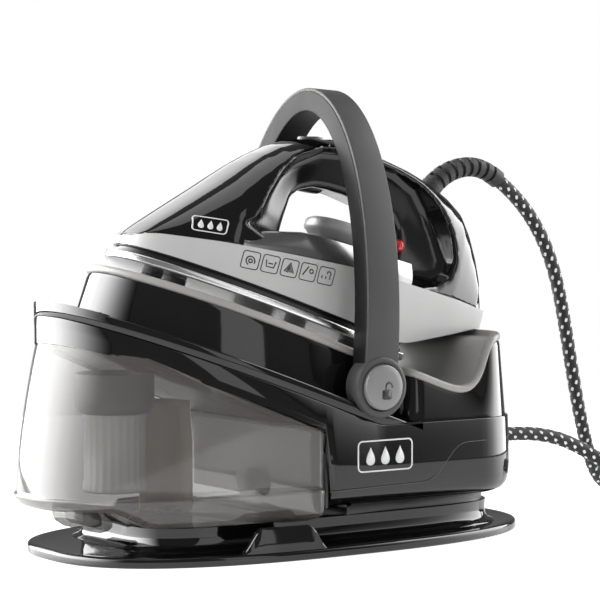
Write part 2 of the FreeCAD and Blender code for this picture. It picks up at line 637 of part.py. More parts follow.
def build_iron_shells():
    nose = iron_loft([(10, 13.6, 17, 6, 4), (40, 20.4, 48, 22, 7), (75, 28.3, 89, 38, 13),
                      (108, 35.8, 115, 48, 17)])
    shaped("front_shell", nose, iron_place())
    saddle = iron_loft([(108.05, 36, 53, 49, 42), (150, 45.2, 56, 51, 40), (198, 48.6, 60, 47, 36)])
    shaped("saddle", saddle, iron_place())
    grip = iron_loft([(108.05, 86, 116, 12, 15), (125, 92, 122, 13, 16), (150, 94, 126.5, 14, 17),
                      (198, 94, 127.5, 14, 17)])
    notch = Part.makeBox(28, 11.6, 14, Vector(114, -5.8, 84))
    thumb = iron_loft([(113, 111, 135, 7, 7), (132, 118, 135, 7, 7)])
    shaped("handle_shell", grip.cut(notch).cut(thumb), iron_place())
    heel = iron_loft([(198.05, 48.6, 127.5, 44, 17), (222, 48.6, 125.5, 42, 16), (240, 48.6, 119.5, 38, 15),
                      (258, 48.6, 100, 34, 17), (276, 48.6, 62, 30, 20)])
    pocket = Part.makeBox(10, 16, 14, Vector(196, -8, 68))
    relief = hose_solid(RELIEF_ROUTE, dim("relief_radius") + dim("relief_play"))[0]
    relief.Placement = iron_place().inverse()
    shaped("rear_shell", heel.cut(pocket).cut(relief), iron_place())
    pad = iron_loft([(132, 122, 128.2, 9, 8), (150, 126.52, 130, 9, 8), (200, 127.52, 131, 9, 8),
                     (222, 125.6, 128.6, 9, 8)])
    shell_tool = grip.fuse(heel)
    shaped("grip_pad", pad.cut(shell_tool).cut(relief), iron_place())


def build_iron_controls():
    place = iron_place().multiply(Placement(Vector(dim("dial_x"), 0, dim("dial_base")), Rotation()))
    dial = bound("Cylinder", "steam_dial", place, Radius="Dims.dial_radius", Height="Dims.dial_height")
    keep(dial, "steam_dial")
    saddle = SUBPARTS["saddle"].Shape.copy()
    saddle.Placement = Placement()
    collar_at = Vector(dim("dial_x"), 0, dim("collar_low"))
    collar = Part.makeCylinder(dim("collar_radius"), dim("collar_height"), collar_at, UP)
    shaped("dial_collar", collar.cut(saddle), iron_place())
    trigger = iron_loft([(116, 84.5, 91, 5, 5), (140, 87.5, 93.6, 5, 5)])
    shaped("steam_trigger", trigger, iron_place())
    lamp_at = Vector(dim("lamp_x"), 0, dim("lamp_z"))
    shaped("pilot_light", Part.makeSphere(dim("lamp_radius"), lamp_at), iron_place())
    button = iron_loft([(113.6, 114.5, 121.5, 6.4, 6.2), (131.4, 121, 126, 6.4, 6.2)])
    shaped("boost_button", button, iron_place())
    stat_at = Vector(dim("stat_x"), 0, dim("stat_z"))
    shaped("thermostat", Part.makeCylinder(dim("stat_radius"), dim("stat_height"), stat_at, UP), iron_place())


def round_path(points):
    """Straight runs joined by tangent arcs, with each arc's radius set by its shorter run."""
    edges, radii = [], []
    start = points[0]
    for before, corner, after in zip(points, points[1:], points[2:]):
        incoming, outgoing = corner - before, after - corner
        turn = incoming.getAngle(outgoing)
        cutback = 0.45 * min(incoming.Length, outgoing.Length)
        radii.append(cutback / math.tan(turn / 2))
        first = corner - incoming.normalize() * cutback
        last = corner + outgoing.normalize() * cutback
        inward = ((first + last) * 0.5 - corner).normalize()
        middle = corner + inward * (radii[-1] / math.cos(turn / 2) - radii[-1])
        edges.append(Part.LineSegment(start, first).toShape())
        edges.append(Part.Arc(first, middle, last).toShape())
        start = last
    edges.append(Part.LineSegment(start, points[-1]).toShape())
    return Part.Wire(edges), radii


def hose_solid(points, radius):
    """A round hose along a rounded route, with its path and the radii of its bends."""
    path, radii = round_path([Vector(*point) for point in points])
    start = path.Edges[0].Vertexes[0].Point
    heading = path.Edges[0].tangentAt(path.Edges[0].FirstParameter)
    section = Part.Wire(Part.makeCircle(radius, start, heading))
    return path.makePipeShell([section], True, True), path, radii


def hose_tube(label, points, radius):
    tube, path, radii = hose_solid(points, radius)
    ideal = math.pi * radius ** 2 * path.Length
    print(label, "length", round(path.Length), "volume ratio", round(tube.Volume / ideal, 4))
    print(label, "radii", [round(value) for value in radii])
    shaped(label, tube)


# The hose leaves the iron's rear top in a bend relief, falls to the floor beyond the base's rear,
# and comes back from a coil on the floor to the gland on the base's rear wall.
RELIEF_ROUTE = [(122, 0, 231), (131, 0, 241), (146, 0, 250.5), (165, 0, 254), (181, 0, 250), (190, 0, 244)]
UPPER_ROUTE = [(190.03, 0, 243.98), (203, 0, 235.33), (221, 0, 218), (236, 0, 196), (247, 0, 170),
               (256, 0, 132), (266, 2, 92), (281, 8, 52), (302, 19, 21), (328, 32, 8), (355, 41, 7)]
LOWER_ROUTE = [(170, -30, 63), (190, -30, 62.6), (208, -30, 60.5), (225, -30.5, 56.5), (241, -31, 50),
               (257, -34, 41), (275, -39, 29), (297, -47, 15), (325, -58, 8.5), (352, -65, 8)]


def build_hose():
    hose_tube("cord_relief", RELIEF_ROUTE, dim("relief_radius"))
    hose_tube("hose_upper", UPPER_ROUTE, dim("hose_radius"))
    hose_tube("hose_lower", LOWER_ROUTE, dim("hose_radius"))
    coil = []
    for side in (1, -1):
        radius = dim("coil_mean") + side * 2 * dim("hose_radius")
        centre = Vector(dim("coil_x"), dim("coil_y"), dim("coil_low"))
        coil.append(Part.makeCylinder(radius, 4 * dim("hose_radius"), centre, UP))
    shaped("hose_coil", coil[0].cut(coil[1]))


# ---------------------------------------------------------------- build, check and export

build_foot()
build_lower_casing()
build_upper_casing()
build_tray()
build_rest_pads()
build_boiler()
build_water_parts()
build_glands()
build_pivot_pins()
build_tank()
build_tank_inside()
build_tank_latch()
build_filler_flap()
build_handle()
build_hose()
build_sole()
build_skirt()
build_iron_shells()
build_iron_controls()
doc.recompute()

for item in doc.Objects:
    if "Invalid" in item.State or "Error" in item.State:
        raise RuntimeError(f"{item.Label} failed: {item.State}")
for label, piece in SUBPARTS.items():
    if piece.Shape.isNull() or not piece.Shape.isValid() or piece.Shape.Volume <= 0:
        raise RuntimeError(f"{label} has no valid shape")

os.makedirs("parts", exist_ok=True)
for label, piece in SUBPARTS.items():
    piece.Shape.exportStep(f"parts/{label}.step")
    box = piece.Shape.BoundBox
    sides = [(box.XMin, box.XMax), (box.YMin, box.YMax), (box.ZMin, box.ZMax)]
    extent = " ".join(f"{low:.0f}..{high:.0f}" for low, high in sides)
    print(f"{label:18s} {len(piece.Shape.Solids)} solid, {piece.Shape.Volume / 1000:8.2f} cm3, {extent}")
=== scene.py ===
import bpy
import bmesh
import math
import numpy as np
from mathutils import Matrix, Vector


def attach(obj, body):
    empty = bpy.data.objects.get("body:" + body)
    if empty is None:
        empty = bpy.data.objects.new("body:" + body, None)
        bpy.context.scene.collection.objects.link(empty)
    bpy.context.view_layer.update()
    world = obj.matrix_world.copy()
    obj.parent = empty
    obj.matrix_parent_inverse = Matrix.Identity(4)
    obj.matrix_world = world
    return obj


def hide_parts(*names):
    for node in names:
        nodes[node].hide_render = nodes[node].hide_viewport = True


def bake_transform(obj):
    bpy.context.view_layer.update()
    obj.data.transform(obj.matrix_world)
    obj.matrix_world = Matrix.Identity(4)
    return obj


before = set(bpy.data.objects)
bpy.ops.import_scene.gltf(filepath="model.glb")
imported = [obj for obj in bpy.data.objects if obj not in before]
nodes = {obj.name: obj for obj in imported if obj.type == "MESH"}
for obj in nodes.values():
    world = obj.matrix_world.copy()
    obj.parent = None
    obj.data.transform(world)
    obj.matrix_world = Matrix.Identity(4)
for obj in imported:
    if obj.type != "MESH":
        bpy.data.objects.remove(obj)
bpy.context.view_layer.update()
MM = 0.001

# Places and sizes, in millimetres, in the model's own frame.
SLOPE = math.tan(math.radians(20))
TILT = math.radians(20)
HUB = (21.5, 107.5)
IRON = (-131.5, 199.0)
FOOT_HALF_LENGTH = 180
FOOT_HALF_WIDTH = 97
FOOT_POWER = 2.6
BAY_WALL = -19.4
ARCH_POWER = 2.6

# Light: the room's brightness on matt surfaces and in reflections, and each card's (azimuth, brightness).
WORLD_DIFFUSE = 0.45
WORLD_GLOSSY = 0.2
LEFT_GLOW = ((97, 8), (108, 11), (131, 15), (153, 17), (164, 15), (174, 12), (183, 8.5), (192, 5),
             (200, 2.4), (208, 0.6), (214, 0))
RIGHT_GLOW = ((303, 0), (310, 0.6), (317, 1.4), (325, 2.9), (333, 5), (341, 7), (369, 7.6))


def clamp(value):
    return min(1.0, max(0.0, value))


def ease(share):
    """A smooth step from 0 to 1."""
    return 3 * share ** 2 - 2 * share ** 3


# ---------------------------------------------------------------- camera, floor and light

def look(obj, target):
    obj.rotation_euler = (Vector(target) - obj.location).to_track_quat("-Z", "Y").to_euler()


def build_studio():
    camera = bpy.data.objects.new("camera", bpy.data.cameras.new("camera"))
    camera.data.lens = 144
    camera.data.sensor_width = 36
    camera.location = (-0.9114, -1.3512, 0.2386)
    bpy.context.scene.collection.objects.link(camera)
    look(camera, (0.0118, -0.0075, 0.1619))
    bpy.context.scene.camera = camera
    bpy.ops.mesh.primitive_circle_add(vertices=96, radius=0.9, fill_type="NGON", location=(0, 0, 0))
    floor = bpy.context.object
    floor.name = "studio_floor"
    floor.data.materials.append(floor_material())
    for name, azimuth, distance, size, low, radiance, shines in (
        ("big_left", 160, 1.35, (3.0, 1.5), 0.03, 2.4, False),
        ("front_right", 279, 1.4, (0.4, 1.3), 0.03, 1.5, True),
        ("right_fill", 312, 1.4, (1.0, 1.3), 0.03, 1.3, False),
    ):
        turn = math.radians(azimuth)
        place = (distance * math.cos(turn), distance * math.sin(turn), low + size[1] / 2)
        lamp = softbox(name, place, size, radiance, (0, 0, place[2]))
        lamp.visible_glossy = shines
    card("left_card", 1.3, LEFT_GLOW)
    card("right_card", 1.2, RIGHT_GLOW)
    softbox("overhead", (-0.1, 0.2, 1.7), (1.3, 1.0), 1.8, (0, 0, 0.1))
    behind = softbox("high_behind", (0.25, 1.35, 1.0), (1.2, 0.8), 2.2, (0, 0, 0.2))
    behind.visible_diffuse = False
    bpy.context.scene.world = build_world()
    bpy.context.scene.view_settings.view_transform = "Standard"


def card(name, distance, stops):
    """A glowing screen bent round the object, seen only in reflections; stops are (azimuth, brightness)."""
    points, faces = [], []
    start, end = stops[0][0], stops[-1][0]
    count = 48
    for step in range(count + 1):
        turn = math.radians(start + (end - start) * step / count)
        for height in (-5.0, 1500.0):
            points.append((distance * 1000 * math.cos(turn), distance * 1000 * math.sin(turn), height))
    for step in range(count):
        faces.append((2 * step, 2 * step + 2, 2 * step + 3, 2 * step + 1))
    made = Shader(name)
    glow = made.tree.nodes.new("ShaderNodeAttribute")
    glow.attribute_name = "glow"
    level = made.node("Emission", Color=(1, 1, 1, 1))
    made.tree.links.new(glow.outputs["Fac"], level.inputs["Strength"])
    made.tree.links.new(level.outputs["Emission"], made.tree.nodes["Material Output"].inputs["Surface"])
    screen = make_mesh(name, points, faces, made.material)
    azimuths, levels = zip(*stops)
    turns = [math.degrees(math.atan2(v.co.y, v.co.x)) % 360 for v in screen.data.vertices]
    values = np.interp([turn + 360 if turn < start - 1 else turn for turn in turns], azimuths, levels)
    attribute = screen.data.attributes.new("glow", "FLOAT", "POINT")
    attribute.data.foreach_set("value", values.astype(np.float32))
    screen.visible_camera = False
    screen.visible_diffuse = False
    screen.visible_transmission = False
    screen.visible_shadow = False


def softbox(name, place, size, radiance, target):
    """A rectangular light of a given brightness, facing a point."""
    light = bpy.data.lights.new(name, "AREA")
    light.shape = "RECTANGLE"
    light.size, light.size_y = size
    light.energy = radiance * math.pi * size[0] * size[1]
    lamp = bpy.data.objects.new(name, light)
    lamp.location = place
    bpy.context.scene.collection.objects.link(lamp)
    look(lamp, target)
    return lamp


def build_world():
    """A white room that shows dim in reflections, as with black flags round a studio table."""
    world = bpy.data.worlds.new("studio")
    world.use_nodes = True
    tree = world.node_tree
    path = tree.nodes.new("ShaderNodeLightPath")
    ground = tree.nodes["Background"]
    shine = tree.nodes.new("ShaderNodeMapRange")
    shine.inputs["To Min"].default_value = WORLD_DIFFUSE
    shine.inputs["To Max"].default_value = WORLD_GLOSSY
    tree.links.new(path.outputs["Is Glossy Ray"], shine.inputs["Value"])
    seen = tree.nodes.new("ShaderNodeMix")
    seen.inputs["B"].default_value = 1.0
    tree.links.new(path.outputs["Is Camera Ray"], seen.inputs["Factor"])
    tree.links.new(shine.outputs["Result"], seen.inputs["A"])
    tree.links.new(seen.outputs["Result"], ground.inputs["Strength"])
    ground.inputs["Color"].default_value = (1, 1, 1, 1)
    return world


# ---------------------------------------------------------------- materials

class Shader:
    """A small helper that wires procedural nodes into one Principled shader."""

    def __init__(self, name):
        self.material = bpy.data.materials.new(name)
        self.material.use_nodes = True
        self.tree = self.material.node_tree
        self.bsdf = self.tree.nodes["Principled BSDF"]
        self.coords = self.tree.nodes.new("ShaderNodeTexCoord")

    def node(self, kind, **inputs):
        made = self.tree.nodes.new(f"ShaderNode{kind}")
        for key, value in inputs.items():
            name = key.replace("_", " ")
            if isinstance(value, bpy.types.NodeSocket):
                self.tree.links.new(value, made.inputs[name])
            else:
                made.inputs[name].default_value = value
        return made

    def noise(self, scale, detail=4.0, stretch=None):
        vector = self.coords.outputs["Object"]
        if stretch:
            mapping = self.node("Mapping", Scale=stretch)
            self.tree.links.new(vector, mapping.inputs["Vector"])
            vector = mapping.outputs["Vector"]
        made = self.node("TexNoise", Scale=scale, Detail=detail)
        self.tree.links.new(vector, made.inputs["Vector"])
        return made.outputs["Fac"]

    def ramp(self, factor, low, high, start=0.35, end=0.65):
        made = self.tree.nodes.new("ShaderNodeValToRGB")
        made.color_ramp.elements[0].position = start
        made.color_ramp.elements[0].color = low
        made.color_ramp.elements[1].position = end
        made.color_ramp.elements[1].color = high
        self.tree.links.new(factor, made.inputs["Fac"])
        return made.outputs["Color"]

    def spread(self, factor, low, high):
        made = self.tree.nodes.new("ShaderNodeMapRange")
        made.inputs["To Min"].default_value = low
        made.inputs["To Max"].default_value = high
        self.tree.links.new(factor, made.inputs["Value"])
        return made.outputs["Result"]

    def feed(self, name, socket):
        self.tree.links.new(socket, self.bsdf.inputs[name])

    def bump(self, height, strength, distance):
        made = self.node("Bump", Strength=strength, Distance=distance)
        self.tree.links.new(height, made.inputs["Height"])
        self.feed("Normal", made.outputs["Normal"])


def shade(value, tint=(1, 1, 1)):
    return (value * tint[0], value * tint[1], value * tint[2], 1)


def plastic(name, low, high, rough, grain, depth, coat=0.0, metallic=0.0, shine=0.5, stretch=None):
    """Moulded plastic or paint: slight tone and roughness variation and a fine surface grain."""
    made = Shader(name)
    broad = made.noise(14, 3)
    made.feed("Base Color", made.ramp(broad, low, high, 0.3, 0.7))
    fine = made.noise(grain, 3.0, stretch)
    made.feed("Roughness", made.spread(made.noise(35, 3), rough * 0.85, rough * 1.2))
    made.bump(fine, 0.25, depth)
    made.bsdf.inputs["Coat Weight"].default_value = coat
    made.bsdf.inputs["Coat Roughness"].default_value = 0.04
    made.bsdf.inputs["Metallic"].default_value = metallic
    made.bsdf.inputs["Specular IOR Level"].default_value = shine
    return made.material


def shell_material():
    """The iron's black moulding: gloss outside, satin where the mesh's own "inner" value says so."""
    made = Shader("iron_shell_black")
    inner = made.tree.nodes.new("ShaderNodeAttribute")
    inner.attribute_name = "inner"
    made.feed("Base Color", made.ramp(inner.outputs["Fac"], shade(0.003), shade(0.006), 0.3, 0.7))
    made.feed("Roughness", made.spread(inner.outputs["Fac"], 0.055, 0.17))
    made.bump(made.noise(900), 0.2, 0.00006)
    return made.material


def floor_material():
    made = Shader("studio_floor")
    made.feed("Base Color", made.ramp(made.noise(3), shade(0.9), shade(0.93)))
    made.bsdf.inputs["Roughness"].default_value = 0.35
    made.feed("Emission Color", made.ramp(made.noise(3), shade(0.98), shade(1.0)))
    made.bsdf.inputs["Emission Strength"].default_value = 0.75
    return made.material


def smoke_material():
    """Smoked see-through plastic: the tint is partly transparent and the surface glossy."""
    made = Shader("smoke_clear")
    brown = (1, 0.94, 0.88)
    made.feed("Base Color", made.ramp(made.noise(9), shade(0.085, brown), shade(0.1, brown)))
    made.feed("Roughness", made.spread(made.noise(40), 0.04, 0.09))
    made.bump(made.noise(30, 2), 0.02, 0.0003)
    made.bsdf.inputs["Alpha"].default_value = 0.64
    made.bsdf.inputs["Coat Weight"].default_value = 0.2
    made.bsdf.inputs["Specular IOR Level"].default_value = 0.55
    return made.material


def braid_material():
    """Woven black sheath: the weave comes from the mesh, flecks are separate threads."""
    made = Shader("braid")
    fibre = made.noise(900, 2)
    made.feed("Base Color", made.ramp(fibre, shade(0.003), shade(0.012)))
    made.feed("Roughness", made.spread(fibre, 0.6, 0.85))
    made.bump(fibre, 0.5, 0.0003)
    made.bsdf.inputs["Sheen Weight"].default_value = 0.05
    return made.material


def build_materials():
    warm = (1, 0.985, 0.95)
    cream = (1, 0.9, 0.78)
    return {
        "gloss": plastic("black_gloss", shade(0.003), shade(0.005), 0.05, 260, 0.00003),
        "shell": shell_material(),
        "beige": plastic("inner_beige", shade(0.5, cream), shade(0.56, cream), 0.5, 400, 0.0002),
        "matte": plastic("black_matte", shade(0.004), shade(0.008), 0.5, 900, 0.0002, shine=0.12),
        "satin": plastic("black_satin", shade(0.005), shade(0.01), 0.3, 900, 0.0002),
        "grip": plastic("black_grip", shade(0.01), shade(0.018), 0.5, 1500, 0.0005),
        "rubber": plastic("rubber", shade(0.012), shade(0.022), 0.6, 700, 0.0004),
        "warm": plastic("warm_grey", shade(0.24, warm), shade(0.28, warm), 0.42, 900, 0.0002),
        "handle": plastic("handle_grey", shade(0.045), shade(0.055), 0.5, 1700, 0.0005, shine=0.25),
        "button": plastic("button_grey", shade(0.14), shade(0.17), 0.4, 900, 0.0002),
        "silver": plastic("silver_paint", shade(0.38, (1, 0.99, 0.985)), shade(0.42), 0.38, 1400, 0.0001,
                          coat=0.03, metallic=0.05),
        "dusk": plastic("dark_metal_paint", shade(0.16), shade(0.2), 0.2, 1400, 0.0001,
                        coat=0.5, metallic=0.8),
        "steel": plastic("sole_steel", shade(0.7), shade(0.8), 0.16, 160, 0.0002, metallic=1.0,
                         stretch=(3, 60, 60)),
        "cast": plastic("cast_alloy", shade(0.45), shade(0.55), 0.45, 500, 0.0008, metallic=1.0),
        "brass": plastic("valve_brass", shade(0.55, (1, 0.75, 0.35)), shade(0.65, (1, 0.78, 0.4)), 0.3, 300,
                         0.0002, metallic=1.0),
        "white": plastic("white_plastic", shade(0.62, warm), shade(0.7, warm), 0.4, 600, 0.0002),
        "shade": plastic("shade_grey", shade(0.1, warm), shade(0.13, warm), 0.35, 600, 0.0002),
        "board": plastic("board_green", (0.01, 0.11, 0.03, 1), (0.02, 0.16, 0.05, 1), 0.35, 700, 0.0003),
        "lamp": plastic("lamp_red", (0.45, 0.002, 0.004, 1), (0.6, 0.004, 0.006, 1), 0.08, 200, 0.0001,
                        coat=1.0),
        # Light grey of the case's raised seam line: a painted highlight along the seam.
        "line": plastic("seam_painted_highlight", shade(0.05), shade(0.07), 0.4, 700, 0.0001),
        "ink": plastic("ink_grey", shade(0.006), shade(0.01), 0.4, 700, 0.0001),
        "mark": plastic("mark_light", shade(0.5), shade(0.6), 0.35, 700, 0.0001),
        "thread": plastic("thread_light", shade(0.6), shade(0.75), 0.7, 900, 0.0003),
        "smoke": smoke_material(),
        "braid": braid_material(),
    }


# ---------------------------------------------------------------- mesh helpers (points in millimetres)

def make_mesh(name, points, faces, material, smooth=True):
    mesh = bpy.data.meshes.new(name)
    mesh.from_pydata([tuple(c * MM for c in p) for p in points], [], faces)
    mesh.materials.append(material)
    obj = bpy.data.objects.new(name, mesh)
    bpy.context.scene.collection.objects.link(obj)
    work = bmesh.new()
    work.from_mesh(mesh)
    bmesh.ops.remove_doubles(work, verts=work.verts, dist=1e-6)
    bmesh.ops.recalc_face_normals(work, faces=work.faces)
    work.to_mesh(mesh)
    work.free()
    if smooth:
        mesh.shade_smooth()
    return obj


def apply(obj, kind, **settings):
    """Adds one modifier and makes it part of the mesh."""
    modifier = obj.modifiers.new(kind.lower(), kind)
    for key, value in settings.items():
        setattr(modifier, key, value)
    depsgraph = bpy.context.evaluated_depsgraph_get()
    mesh = bpy.data.meshes.new_from_object(obj.evaluated_get(depsgraph), depsgraph=depsgraph)
    obj.modifiers.clear()
    obj.data = mesh
    return obj


def crease_smooth(obj, angle=40):
    obj.data.shade_smooth()
    bpy.context.view_layer.objects.active = obj
    with bpy.context.temp_override(active_object=obj, object=obj, selected_objects=[obj],
                                   selected_editable_objects=[obj]):
        bpy.ops.object.shade_smooth_by_angle(angle=math.radians(angle), keep_sharp_edges=False)
    return obj


def finish_piece(obj, body, slot, *replaced):
    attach(obj, body)
    if replaced:
        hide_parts(*replaced)
    return obj


def add(name, shape, material, body, slot, *replaced, crease=None, on_iron=False):
    """Makes one piece from (points, faces) on a body; edges over the crease angle stay sharp."""
    piece = make_mesh(name, *shape, material)
    if on_iron:
        place_on_iron(piece)
    if crease:
        crease_smooth(piece, crease)
    return finish_piece(piece, body, slot, *replaced)


def skin(rows, width, wrap=True):
    """Faces between rows of points, each row closed on itself where it wraps."""
    faces = []
    for row in range(rows - 1):
        for step in range(width if wrap else width - 1):
            a, b = row * width + step, row * width + (step + 1) % width
            faces.append((a, b, b + width, a + width))
    return faces


def end_caps(rows, width):
    return [tuple(range(width)), tuple(range((rows - 1) * width, rows * width))]


def turned(profile, centre, count=72, ribs=0, depth=0.0):
    """A turned shape on an upright axis; its profile is (radius, height), with optional ribs."""
    points = []
    for radius, height in profile:
        for step in range(count):
            turn = 2 * math.pi * step / count
            reach = radius - depth * (0.5 + 0.5 * math.cos(ribs * turn))
            points.append((centre[0] + reach * math.cos(turn), centre[1] + reach * math.sin(turn), height))
    return points, skin(len(profile), count)


def inset_loop(loop, amount):
    """Moves a closed plan outline (counter-clockwise or not) inwards along its own normals."""
    points = np.array(loop, float)
    along = np.roll(points, -1, 0) - np.roll(points, 1, 0)
    along /= np.maximum(np.linalg.norm(along, axis=1, keepdims=True), 1e-9)
    area = np.sum(points[:, 0] * np.roll(points[:, 1], -1) - np.roll(points[:, 0], -1) * points[:, 1])
    sign = 1.0 if area > 0 else -1.0
    normal = np.stack([along[:, 1], -along[:, 0]], 1) * sign
    return points - normal * amount


def ring_stack(loop, rings, close_low=True, close_high=True):
    """Points and faces through copies of a plan outline. Each ring is (inset, height function of x and y)."""
    count = len(loop)
    points, faces = [], skin(len(rings), count)
    for inset, height in rings:
        for x, y in inset_loop(loop, inset):
            points.append((x, y, height(x, y) if callable(height) else height))
    for wanted, level in ((close_low, 0), (close_high, len(rings) - 1)):
        if wanted:
            ring = points[level * count:(level + 1) * count]
            middle = tuple(sum(p[i] for p in ring) / count for i in range(3))
            points.append(middle)
            hub, first = len(points) - 1, level * count
            faces += [(first + step, first + (step + 1) % count, hub) for step in range(count)]
    return points, faces


def rounded_rings(low, high, radius_low, radius_high, steps=4):
    """Rings for an upright wall between two heights, with rounded lower and upper edges."""
    rings = []
    for step in range(steps + 1):
        turn = math.pi / 2 * step / steps
        rings.append((radius_low * (1 - math.sin(turn)), lift(low, radius_low * (1 - math.cos(turn)))))
    for step in range(steps + 1):
        turn = math.pi / 2 * step / steps
        rings.append((radius_high * (1 - math.cos(turn)), lift(high, -radius_high * (1 - math.sin(turn)))))
    return rings


def lift(height, amount):
    if callable(height):
        return lambda x, y: height(x, y) + amount
    return height + amount


def superellipse(half_x, half_y, power, count=128, x0=0.0):
    loop = []
    for step in range(count):
        turn = 2 * math.pi * step / count
        cx, sy = math.cos(turn), math.sin(turn)
        loop.append((x0 + math.copysign(half_x * abs(cx) ** (2 / power), cx),
                     math.copysign(half_y * abs(sy) ** (2 / power), sy)))
    return loop


def resample(line, spacing, closed=True):
    points = [Vector((p[0], p[1], 0)) for p in line]
    if closed:
        points.append(points[0])
    out = []
    for a, b in zip(points, points[1:]):
        count = max(1, round((b - a).length / spacing))
        out += [tuple(a.lerp(b, i / count)[:2]) for i in range(count)]
    return out


def nose_line(front, bend, half, count, power=2.2):
    """Half a superellipse in plan, from one side round the front to the other."""
    line = []
    for step in range(count + 1):
        turn = -math.pi / 2 + math.pi * step / count
        reach = (bend - front) * max(math.cos(turn), 0) ** (2 / power)
        line.append((bend - reach, math.copysign(half * abs(math.sin(turn)) ** (2 / power), math.sin(turn))))
    return line


def casing_loop(front=-180.0, half=84.0, rear=156.0, corner=43.0, bend=-20.0):
    """Plan outline: an elliptical nose, straight sides and a rounded rear."""
    loop = nose_line(front, bend, half, 48)
    for centre, start in (((rear - corner, half - corner), 90), ((rear - corner, corner - half), 0)):
        for step in range(13):
            turn = math.radians(start - 90 * step / 12)
            loop.append((centre[0] + corner * math.cos(turn), centre[1] + corner * math.sin(turn)))
    return resample(loop, 5.0)


def seam(x, y=0):
    return 82 + max(0.0, (25 - x) * SLOPE)


def ledge(x, y=0):
    return 92 + (21.5 - x) * SLOPE


def tank_top(x, y=0):
    return 80.5 + (-20 - x) * math.tan(math.radians(22))


def lean(point):
    """The casing's rear wall leans in a little above its middle."""
    x, y, z = point
    reach = clamp((x - 100) / 55)
    return (x - 9 * reach * max(0.0, (z - 60) / 74) ** 1.2, y, z)


def place_on_iron(obj):
    """Moves a mesh made in the iron's own frame to where the iron rests."""
    turn = Matrix.Rotation(TILT, 4, "Y")
    obj.data.transform(Matrix.Translation((IRON[0] * MM, 0, IRON[1] * MM)) @ turn)
    return obj


# ---------------------------------------------------------------- foot

def hose_tab(sign, steps=60):
    """Cross-sections of the raised tab along the foot plate's edge, on one side."""
    rings = []
    for step in range(steps + 1):
        x = -89 + 64 * step / steps
        share = 1 - (abs(x) / FOOT_HALF_LENGTH) ** FOOT_POWER
        edge = FOOT_HALF_WIDTH * share ** (1 / FOOT_POWER)
        top = 6.3 + 16 * ease(min(1.0, min(step, steps - step) / (steps * 0.24)))
        outer, inner = edge - 1.6, edge - 6.0
        ring = [(outer, 6), (outer, top - 1.4), (outer - 0.4, top - 0.5), (outer - 1.4, top),
                (inner + 0.6, top), (inner, top - 1), (inner - 1, 6)]
        rings.append([(x, sign * y, z) for y, z in ring])
    return rings


def build_foot(mats):
    plate = superellipse(FOOT_HALF_LENGTH, FOOT_HALF_WIDTH, FOOT_POWER)
    rings = rounded_rings(0.0, 6.5, 1.6, 2.2) + [(7, 6.5), (9, 6.2), (40, 7.2)]
    add("foot_plate_shell", ring_stack(plate, rings), mats["gloss"], "base", "black_gloss", "foot_plate")
    neck = superellipse(143, 66, 4.5, x0=7)
    rings = [(-6, 6.4), (-5, 7.6), (-1.6, 8.6), (0.4, 11), (0.8, 16), (0.4, 21.4), (1.2, 21.9), (8, 21.9)]
    add("neck_wall", ring_stack(neck, rings), mats["gloss"], "base", "black_satin", "neck", crease=60)
    deck = [(x, y) for x, y in neck if x > -17]
    rings = [(3, 21.6), (3, 26), (1.0, 29.2)]
    add("plinth_wall", ring_stack(deck, rings), mats["satin"], "base", "black_satin", "plinth", crease=60)
    for side, sign in (("left", -1), ("right", 1)):
        add(f"hose_tab_{side}", section_loft(hose_tab(sign)), mats["gloss"],
            "base", "black_satin", f"hose_clip_{side}", crease=35)


# ---------------------------------------------------------------- casings and tray

